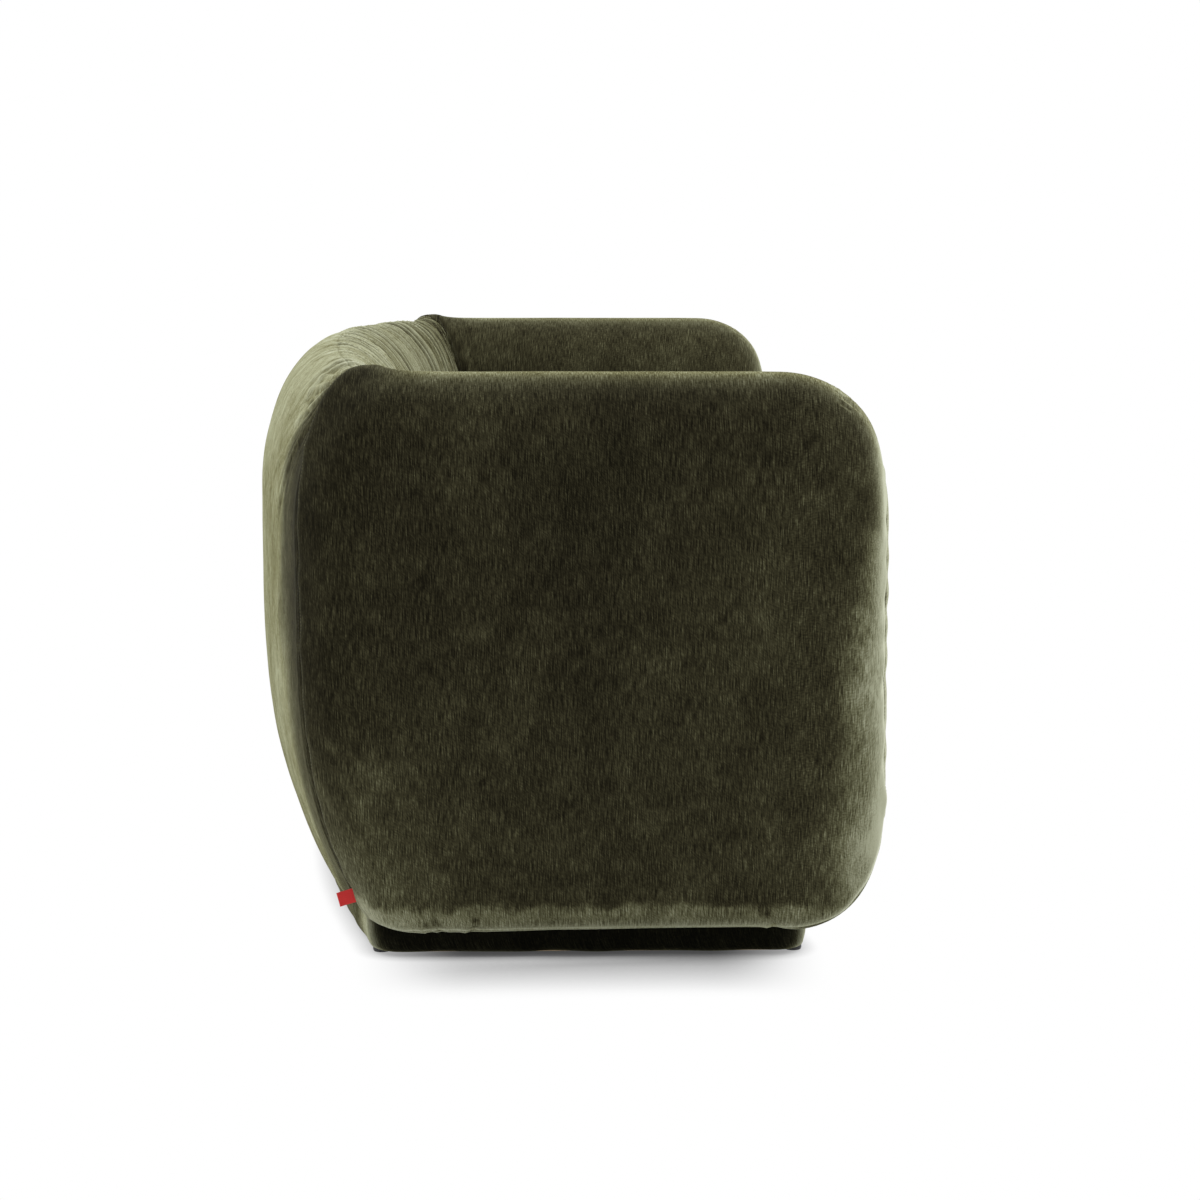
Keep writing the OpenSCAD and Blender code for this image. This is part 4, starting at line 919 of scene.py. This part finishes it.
# %% [markdown]
# The apron is a soft roll under the seat's hollow front edge, and hides the
# front rail. Its profile is swept along the same bow as the seat.
# %% Apron cover
APRON_IN, APRON_GAP = 0.034, 0.0006
Y_APRON = Y_FRONT + APRON_IN + SEAT_BOW
APRON_PROFILE = [(0.0560, 0.0485), (0.0160, 0.0485), (0.0060, 0.0505), (0.0010, 0.0560),
                 (-0.0022, 0.0700), (-0.0032, 0.1150), (-0.0042, 0.1680), (-0.0036, 0.2150),
                 (-0.0014, 0.2420), (0.0035, 0.2640), (0.0105, 0.2765), (0.0200, 0.2820),
                 (0.0300, 0.2832)]
apron_x = np.linspace(-X_IN + APRON_GAP, X_IN - APRON_GAP, 260)
profile = evenly(np.array(APRON_PROFILE), 70)
apron = np.stack([apron_x[:, None] + 0 * profile[None, :, 0],
                  bow(apron_x, Y_APRON, SEAT_BOW, X_IN)[:, None] + profile[None, :, 0],
                  0 * apron_x[:, None] + profile[None, :, 1]], -1)
outward, flip = grid_normals(apron, np.array([0, -1.0, 0]))
end = np.minimum(lengths(apron, 0), lengths(apron, 0)[::-1])
swell = 0.0006 * cloud(apron, 0.12, 3) - 0.0012 * bump(end, 0, 0.006) - 0.0004
swell = swell + 0.0007 * wander(end + 0.2 * apron[..., 2], 0.02, 52) * np.exp(-end / 0.03)
nap_and_shading = 0.20 + crushed(apron, 15)
# Painted highlights along the apron's rounded top and bottom edges.
nap_and_shading = nap_and_shading + 0.10 * bump(apron[..., 2], 0.275, 0.012) + 0.10 * bump(apron[..., 2], 0.052, 0.01)
dress(skin("apron_velvet", apron + outward * swell[..., None], outward, nap_and_shading, 0.7, 0.002, flip=flip),
      "velvet", 0.9, "apron_cover", "apron_foam")

# %% [markdown]
# The red tab is a folded strip of woven tape. Its root is sewn into the rear
# seam of the left arm, so its place is read from the arm's own last column
# of points, and its free end bends a little away from the body.
# %% Seam tab
TAB, TAB_THICK, TAB_Z, TAB_SUNK = 0.0190, 0.0013, 0.0885, -0.0050
seam_line = wraps[0][1][-1] * [-1, 1, 1]
row = int(np.argmin(np.abs(seam_line[: len(arm_j) // 3, 2] - TAB_Z)))
root = seam_line[row] + [TAB_SUNK, 0, 0]
along = seam_line[row + 1] - seam_line[row]
along = along / np.linalg.norm(along)
along = np.array([0.0, along[1], along[2]]) / np.hypot(along[1], along[2])
away = np.array([0.0, along[2], -along[1]])
u, v = np.meshgrid(np.linspace(-0.0015, 1.25 * TAB, 19), np.linspace(-TAB / 2, TAB / 2, 15), indexing="ij")
bend = -0.0022 * (np.clip(u, 0, None) / TAB) ** 2 + 0.0004 * np.cos(v / TAB * 3)
tab = root + u[..., None] * away + v[..., None] * along + bend[..., None] * np.array([1.0, 0, 0])
outward, flip = grid_normals(tab, np.array([-1.0, 0, 0]))
dress(skin("tab_woven", tab, outward, 0 * u, 0.0, TAB_THICK, flip=flip), "tab_red", 1.0, "seam_tab")

# %% [markdown]
# The seat deck under the loose cushion is a thin pad with a tight lining,
# sewn across near its front. It is a row of closed rings, set closer at the
# two ends, where the pad's edge turns round.
# %% Deck lining
SEAT_SIDE_GAP, SEAT_BACK_GAP, DECK_BEHIND_APRON = 0.016, 0.006, 0.0325
SEAT_HALF, DECK_LOW, DECK_HIGH = X_IN - SEAT_SIDE_GAP, 0.2600, 0.2838
DECK_MID, DECK_HALF = (DECK_LOW + DECK_HIGH) / 2, (DECK_HIGH - DECK_LOW) / 2
Y_DECK_FRONT = Y_APRON + DECK_BEHIND_APRON
Y_DECK_BACK = Y_IN_MID - BACK_LEAN - SEAT_BACK_GAP
DECK_GAP, END_STEP, END_RINGS = 0.0004, 0.001, 12

turn = np.linspace(-np.pi / 2, np.pi / 2, 11)
deck_ends = DECK_HALF * np.stack([np.cos(turn), np.sin(turn)], -1)
flat = np.linspace(0, 1, 60)[1:-1]


def deck_ring(x):
    tall = quarter((SEAT_HALF - abs(x)) / DECK_HALF) + 0.002
    low_y = bow(x, Y_DECK_FRONT, SEAT_BOW, X_IN) + DECK_HALF + DECK_GAP
    high_y = bow(x, Y_DECK_BACK, INNER_BOW * 0.62, X_IN) - DECK_HALF - DECK_GAP
    upper = np.stack([x + 0 * flat, mix(low_y, high_y, flat), DECK_MID + DECK_HALF * tall + 0 * flat], -1)
    front_end, back_end = (
        np.stack([x + 0 * turn, y, DECK_MID + tall * z], -1)
        for y, z in ((low_y - deck_ends[:, 0], deck_ends[:, 1]),
                     (high_y + deck_ends[::-1, 0], deck_ends[::-1, 1])))
    under = upper[::-1] * [1, 1, 0] + [0, 0, DECK_MID - DECK_HALF * tall]
    return np.concatenate([front_end, upper, back_end, under])


end_x = SEAT_HALF - END_STEP * np.arange(END_RINGS)
inner_x = SEAT_HALF - 0.014
deck_x = np.concatenate([-SEAT_HALF + END_STEP * np.arange(END_RINGS),
                         np.linspace(-inner_x, inner_x, 190), end_x[::-1]])
deck = np.array([deck_ring(x) for x in deck_x])
seam = deck[..., 1] - bow(deck[..., 0], Y_DECK_FRONT + 0.11, SEAT_BOW * 0.9, X_IN)
dent = 0.0022 * bump(seam, 0, 0.004) + 0.0006 * (1 + cloud(deck, 0.2, 2))
deck[..., 2] -= dent * (deck[..., 2] > DECK_MID)


def lofted(name, rings, nap_and_shading=None, uv=None, sheen_share=None):
    """A closed solid from rings that each close on themselves."""
    rows, cols = rings.shape[:2]
    number = np.arange(rows * cols).reshape(rows, cols)
    follow = np.roll(number, -1, axis=1)
    faces = np.stack([number[:-1], number[1:], follow[1:], follow[:-1]], -1).reshape(-1, 4)
    piece = add_mesh(name, rings.reshape(-1, 3), faces, uv, nap_and_shading, sheen_share)
    form = bmesh.new()
    form.from_mesh(piece.data)
    bmesh.ops.remove_doubles(form, verts=form.verts, dist=0.0001)
    open_edges = [edge for edge in form.edges if edge.is_boundary]
    if open_edges:
        bmesh.ops.holes_fill(form, edges=open_edges, sides=0)
    bmesh.ops.recalc_face_normals(form, faces=form.faces)
    form.to_mesh(piece.data)
    form.free()
    piece.data.shade_smooth()
    print(name, len(piece.data.polygons), "faces")
    return piece


dress(lofted("deck_lining", deck), "black_cloth", 1.0, "deck_pad")

# %% [markdown]
# The loose seat cushion is a crescent with a crowned top, a border that
# bulges between two piped seams, and puckers where the cloth is drawn into
# them. The photograph hides it, so it is kept plain: three shallow dips show
# where people sit. Its edges in plan are worked out first.
# %% Edges of the seat cushion
CUSHION_GAP = 0.006
X_CUSHION, CUSHION_LOW, CUSHION_T, CROWN = X_IN - CUSHION_GAP, 0.2843, 0.128, 0.0195
CUSHION_R = 0.110
FRONT_R = CUSHION_R * 0.55
Y_CUSHION_BACK = Y_IN_MID - BACK_LEAN * 0.66 - SEAT_BACK_GAP
CUSHION_BACK_BOW = INNER_BOW * 0.8
EDGE_POINTS = 300


def cushion_edges(inset):
    """Front and back edge in plan, from the left end to the right."""
    half, r, r_front = X_CUSHION - inset, CUSHION_R - inset, FRONT_R - inset
    a = np.linspace(0, np.pi / 2, 20)
    x = np.linspace(0, half - r_front, 80)
    low_end = bow(half - r_front, Y_APRON + inset, SEAT_BOW, X_IN) + r_front
    x_back = np.linspace(0, half - r, 80)
    high_end = bow(half - r, Y_CUSHION_BACK - inset, CUSHION_BACK_BOW, X_IN) - r
    middle = np.array([[half, (low_end + high_end) / 2]])
    front = np.concatenate([
        np.stack([x, bow(x, Y_APRON + inset, SEAT_BOW, X_IN)], -1)[:-1],
        np.stack([half - r_front + r_front * np.sin(a), low_end - r_front * np.cos(a)], -1), middle])
    back = np.concatenate([
        np.stack([x_back, bow(x_back, Y_CUSHION_BACK - inset, CUSHION_BACK_BOW, X_IN)], -1)[:-1],
        np.stack([half - r + r * np.sin(a), high_end + r * np.cos(a)], -1), middle])
    both = [np.concatenate([path[::-1] * [-1, 1], path[1:]]) for path in (front, back)]
    return evenly(both[0], EDGE_POINTS), evenly(both[1], EDGE_POINTS)


# %% [markdown]
# Each ring of the cushion runs over the top, down the border and back along
# the bottom, on both sides of a spine in its middle. The weave lies straight
# on top and bottom, and follows the border round.
# %% Seat cushion
SEAM_IN, BORDER_IN, PIPING_IN = 0.0062, 0.0022, 0.0050
ON_TOP, ON_BORDER, ON_BOTTOM = 0, 1, 2
SEAT_PLACES, SEAT_DIP = (-0.55, 0.0, 0.55), 0.005

spine = sum(cushion_edges(SEAM_IN)) / 2 * [0.95, 1]
z_top = CUSHION_LOW + CUSHION_T - 0.001


def cushion_side(which):
    """Columns from the top's middle over the border to the bottom's middle."""
    rim = cushion_edges(SEAM_IN)[which]
    level = 0 * rim[:, :1]
    columns, marks = [], []
    for share in np.linspace(1, 0, 44):
        height = z_top + CROWN * float(quarter(0.9 * share)) ** 1.3
        columns.append(np.concatenate([mix(rim, spine, share), height + level], -1))
        marks.append(ON_TOP)
    for rise in np.linspace(0, 1, 26)[1:-1]:
        inset = BORDER_IN + (SEAM_IN - BORDER_IN) * abs(2 * rise - 1) ** 3
        edge = cushion_edges(inset)[which]
        columns.append(np.concatenate([edge, level + mix(z_top, CUSHION_LOW + 0.001, rise)], -1))
        marks.append(ON_BORDER)
    for share in np.linspace(0, 1, 16):
        columns.append(np.concatenate([mix(rim, spine, share), level + CUSHION_LOW + 0.0002], -1))
        marks.append(ON_BOTTOM)
    return np.stack(columns, axis=1), np.array(marks)


front_rings, marks = cushion_side(0)
back_rings, _ = cushion_side(1)
rings = np.concatenate([front_rings, back_rings[:, -2:0:-1]], axis=1)
part = np.concatenate([marks, marks[-2:0:-1]])
edge = np.abs(rings[..., 2] - z_top)
plan = np.linalg.norm(rings[..., :2] - spine[:, None], axis=-1)
rim_away = np.maximum(plan.max(axis=1, keepdims=True) - plan, 0)
from_seam = np.where(part[None] == ON_BORDER, np.minimum(edge, rings[..., 2] - CUSHION_LOW), rim_away)
length = lengths(rings, 0)
pucker = wander(length, 0.026, 71) * bump(from_seam, 0.010, 0.010)
dips = sum(bump(rings[..., 0], x, 0.20) * bump(rings[..., 1], -0.10, 0.16) for x in SEAT_PLACES)
top_part = part[None] == ON_TOP
border = (part[None] == ON_BORDER) * (rings[..., 1] < 0.05)
swell = 0.0022 * cloud(rings, 0.16, 3) + 0.0009 * pucker - SEAT_DIP * dips
rings[..., 2] += top_part * swell * smooth(rim_away, 0, 0.02)
rings[..., 1] += border * 0.0006 * pucker
# The tone is paler beside the piped seams, on the puckers' ridges and on the top: painted light.
nap_and_shading = 0.20 + crushed(rings, 20) + 0.16 * bump(from_seam, 0.008, 0.009) + 0.06 * pucker + 0.05 * top_part
on_border = (part == ON_BORDER)[None, :, None]
uv = np.where(on_border, np.stack([length, rings[..., 2]], -1), rings[..., :2]).reshape(-1, 2)
dress(lofted("cushion_velvet", rings, nap_and_shading, uv, 0.7 + 0 * nap_and_shading), "velvet", 0.75,
      "cushion_core", "cushion_top", "cushion_band", "cushion_bottom", body=CUSHION)

# %% [markdown]
# The piping is a cord sewn into each of the two seams. Its tube is made ring
# by ring round the cushion's edge and closes on itself.
# %% Piping of the cushion
PIPING_R, PIPING_SIDES, PIPING_RUN = 0.0042, 10, 4.6


def piping(name, z):
    front_edge, back_edge = cushion_edges(PIPING_IN)
    path = np.concatenate([front_edge, back_edge[-2:0:-1]])
    ahead = np.roll(path, -1, axis=0) - np.roll(path, 1, axis=0)
    ahead = ahead / np.linalg.norm(ahead, axis=1, keepdims=True)
    side = np.stack([ahead[:, 1], -ahead[:, 0]], -1)
    turn = 2 * np.pi * np.arange(PIPING_SIDES) / PIPING_SIDES
    count = len(path)
    height = np.tile((z + PIPING_R * np.sin(turn))[None, :, None], (count, 1, 1))
    tube = np.concatenate([
        path[:, None] + side[:, None] * (PIPING_R * np.cos(turn))[None, :, None], height], -1)
    number = np.arange(count * PIPING_SIDES).reshape(count, PIPING_SIDES)
    ahead_row, beside = np.roll(number, -1, axis=0), np.roll(number, -1, axis=1)
    faces = np.stack([number, ahead_row, np.roll(ahead_row, -1, axis=1), beside], -1).reshape(-1, 4)
    run = np.tile(np.linspace(0, PIPING_RUN, count)[:, None], (1, PIPING_SIDES))
    uv = np.stack([run, np.tile(turn * PIPING_R, (count, 1))], -1).reshape(-1, 2)
    level = 0 * uv[:, 0]
    piece = add_mesh(name, tube.reshape(-1, 3), faces[:, ::-1], uv, 0.30 + level, 0.8 + level)
    dress(piece, "velvet", 0.9, body=CUSHION)
    print(name, len(faces), "faces")


piping("cushion_welt_top", z_top - 0.001)
piping("cushion_welt_bottom", CUSHION_LOW + 0.0050)

# %% [markdown]
# The velvet is one olive cloth with a fine upright slub. Each point's tone
# value runs from dark to pale. It holds which way the pile was brushed, and
# also painted light and shade: painted sheen where the cloth rolls away,
# painted highlights on fold ridges and painted shade in fold valleys and
# creases. Three noises add the slub, a faint twill and small patches. Where
# the pile turns away from the eye its pale tips show, as far as the point's
# sheen share lets them. A blend by facing angle was chosen for this, because
# it gives the tips a colour of their own, which can change from place to
# place.
# %% Velvet
SLUB_SHARE, TWILL_SHARE, PATCH_SHARE = 1.50, 0.40, 0.30
SHEEN_GAIN = 2.5
OLIVE = [(0.0, (0.008, 0.0070, 0.0035)), (0.20, (0.0250, 0.0222, 0.0112)),
         (0.42, (0.061, 0.057, 0.029)), (0.66, (0.165, 0.165, 0.092)), (0.95, (0.38, 0.39, 0.27))]
# SHADE is a darker copy of OLIVE: painted shade, for the plinth in the shadow of the overhang.
SHADE = [(0.0, (0.003, 0.003, 0.0015)), (0.30, (0.012, 0.0115, 0.006)), (0.60, (0.05, 0.05, 0.03)),
         (1.0, (0.14, 0.14, 0.09))]
TIPS = [(0.0, (0.085, 0.078, 0.034)), (0.22, (0.225, 0.219, 0.114)), (0.45, (0.40, 0.410, 0.270)),
        (0.85, (0.60, 0.62, 0.47))]


def velvet(name, stops):
    paint = bpy.data.materials.new(name)
    node = node_tree(paint)
    place = node("ShaderNodeTexCoord").outputs
    stretch = node("ShaderNodeMapping", {"Vector": place["UV"], "Scale": (900, 45, 1)})
    lean = node("ShaderNodeMapping", {
        "Vector": place["UV"], "Scale": (640, 640, 1), "Rotation": (0, 0, math.radians(45))})
    squash = node("ShaderNodeMapping", {"Vector": lean.outputs[0], "Scale": (1.0, 0.25, 1)})
    slub = node("ShaderNodeTexNoise", {
        "Vector": stretch.outputs[0], "Scale": 1.0, "Detail": 3.0, "Roughness": 0.7})
    twill = node("ShaderNodeTexNoise", {"Vector": squash.outputs[0], "Scale": 1.0, "Detail": 1.0})
    patch = node("ShaderNodeTexNoise", {
        "Vector": place["Object"], "Scale": 26.0, "Detail": 5.0, "Roughness": 0.65})
    total = node("ShaderNodeAttribute", attribute_name="nap_and_shading").outputs["Fac"]
    for noise, share in ((slub, SLUB_SHARE), (twill, TWILL_SHARE), (patch, PATCH_SHARE)):
        centred = node("ShaderNodeMath", {0: noise.outputs["Fac"], 1: 0.5}, operation="SUBTRACT")
        total = node("ShaderNodeMath", {0: centred.outputs[0], 1: share, 2: total},
                     operation="MULTIPLY_ADD").outputs[0]
    lift = node("ShaderNodeBump", {
        "Height": slub.outputs["Fac"], "Strength": 0.4, "Distance": 0.0009})
    cloth = node("ShaderNodeBsdfPrincipled", {
        "Base Color": ramp(node, stops, total), "Normal": lift.outputs[0],
        "Roughness": 0.95, "Specular IOR Level": 0.05, "Sheen Weight": 0.05,
        "Sheen Roughness": 0.32, "Sheen Tint": (0.66, 0.65, 0.44, 1)})
    turned = node("ShaderNodeLayerWeight", {"Blend": 0.5})
    steep = node("ShaderNodeMath", {0: turned.outputs["Facing"], 1: 3.0}, operation="POWER")
    sheen_attribute = node("ShaderNodeAttribute", attribute_name="sheen_share")
    shown = node("ShaderNodeMath", {0: steep.outputs[0], 1: sheen_attribute.outputs["Fac"]},
                 operation="MULTIPLY")
    share = node("ShaderNodeMath", {0: shown.outputs[0], 1: SHEEN_GAIN},
                 operation="MULTIPLY", use_clamp=True)
    tips = node("ShaderNodeBsdfDiffuse", {"Color": ramp(node, TIPS, total)})
    blend = node("ShaderNodeMixShader", {
        "Fac": share.outputs[0], 1: cloth.outputs[0], 2: tips.outputs[0]})
    node("ShaderNodeOutputMaterial", {"Surface": blend.outputs[0]})
    return paint


# %% [markdown]
# Timber, plywood, foam, steel and the rest are one colour each with a fine
# grain. The grain is a noise on object coordinates, drawn out along the
# timber by its scale, so it needs no unwrapping. The tab is ribbed tape.
# %% Other materials
def plain_paint(name, color, roughness, metallic=0.0, grain=0.0, scale=(1, 1, 1), dent=0.0):
    paint = bpy.data.materials.new(name)
    node = node_tree(paint)
    place = node("ShaderNodeTexCoord").outputs["Object"]
    stretch = node("ShaderNodeMapping", {"Vector": place, "Scale": scale})
    noise = node("ShaderNodeTexNoise", {
        "Vector": stretch.outputs[0], "Scale": 1.0, "Detail": 4.0, "Roughness": 0.6}).outputs["Fac"]
    tone = ramp(node, [(0.25, tuple(c * (1 - grain) for c in color)),
                       (0.75, tuple(min(1, c * (1 + grain)) for c in color))], noise)
    inputs = {"Base Color": tone, "Roughness": roughness, "Metallic": metallic}
    if dent:
        lift = node("ShaderNodeBump", {"Height": noise, "Strength": 0.5, "Distance": dent})
        inputs["Normal"] = lift.outputs[0]
    surface = node("ShaderNodeBsdfPrincipled", inputs)
    node("ShaderNodeOutputMaterial", {"Surface": surface.outputs[0]})
    return paint


def woven_tape(name):
    paint = bpy.data.materials.new(name)
    node = node_tree(paint)
    place = node("ShaderNodeTexCoord").outputs["UV"]
    ribs = node("ShaderNodeTexWave", {"Vector": place, "Scale": 420.0, "Distortion": 0.4},
                wave_type="BANDS")
    tone = ramp(node, [(0.0, (0.62, 0.012, 0.012)), (1.0, (0.82, 0.030, 0.028))], ribs.outputs["Fac"])
    surface = node("ShaderNodeBsdfPrincipled", {
        "Base Color": tone, "Roughness": 0.7, "Sheen Weight": 0.2})
    node("ShaderNodeOutputMaterial", {"Surface": surface.outputs[0]})
    return paint


paints = {
    "velvet": velvet("velvet", OLIVE),
    # velvet_dark is the velvet on the SHADE ramp: the same cloth with painted shade.
    "velvet_dark": velvet("velvet_dark", SHADE),
    "timber": plain_paint("timber", (0.50, 0.35, 0.19), 0.7,
                          grain=0.22, scale=(7, 60, 60), dent=0.0004),
    "plywood": plain_paint("plywood", (0.56, 0.42, 0.26), 0.65,
                           grain=0.14, scale=(9, 40, 260), dent=0.0003),
    "foam": plain_paint("foam", (0.80, 0.72, 0.50), 0.95,
                        grain=0.05, scale=(400, 400, 400), dent=0.0006),
    "steel": plain_paint("steel", (0.45, 0.45, 0.46), 0.35, 1.0, grain=0.08, scale=(80, 80, 80)),
    "glide_black": plain_paint("glide_black", (0.015, 0.015, 0.015), 0.45,
                               grain=0.05, scale=(90, 90, 90)),
    "black_cloth": plain_paint("black_cloth", (0.02, 0.02, 0.02), 0.95,
                               grain=0.3, scale=(500, 500, 500), dent=0.0005),
    "webbing": plain_paint("webbing", (0.35, 0.33, 0.28), 0.85,
                           grain=0.2, scale=(30, 400, 400), dent=0.0005),
    "tab_red": woven_tape("tab_red"),
    "thread": plain_paint("thread", (0.030, 0.028, 0.015), 0.8, grain=0.1, scale=(300, 300, 300)),
}

# %% [markdown]
# The frame's own record says which material slot each of its pieces has. The
# pieces made here were noted with their paint when they were dressed.
# %% Paint every piece
for row in frame["record"]["subparts"]:
    piece = bpy.data.objects.get(row["node"])
    if piece is not None and piece.type == "MESH":
        piece.data.materials.clear()
        piece.data.materials.append(paints[row["material_slot"]])
for piece, paint_name in dressed:
    piece.data.materials.append(paints[paint_name])
print(len(paints), "materials,", len(dressed), "dressed pieces")
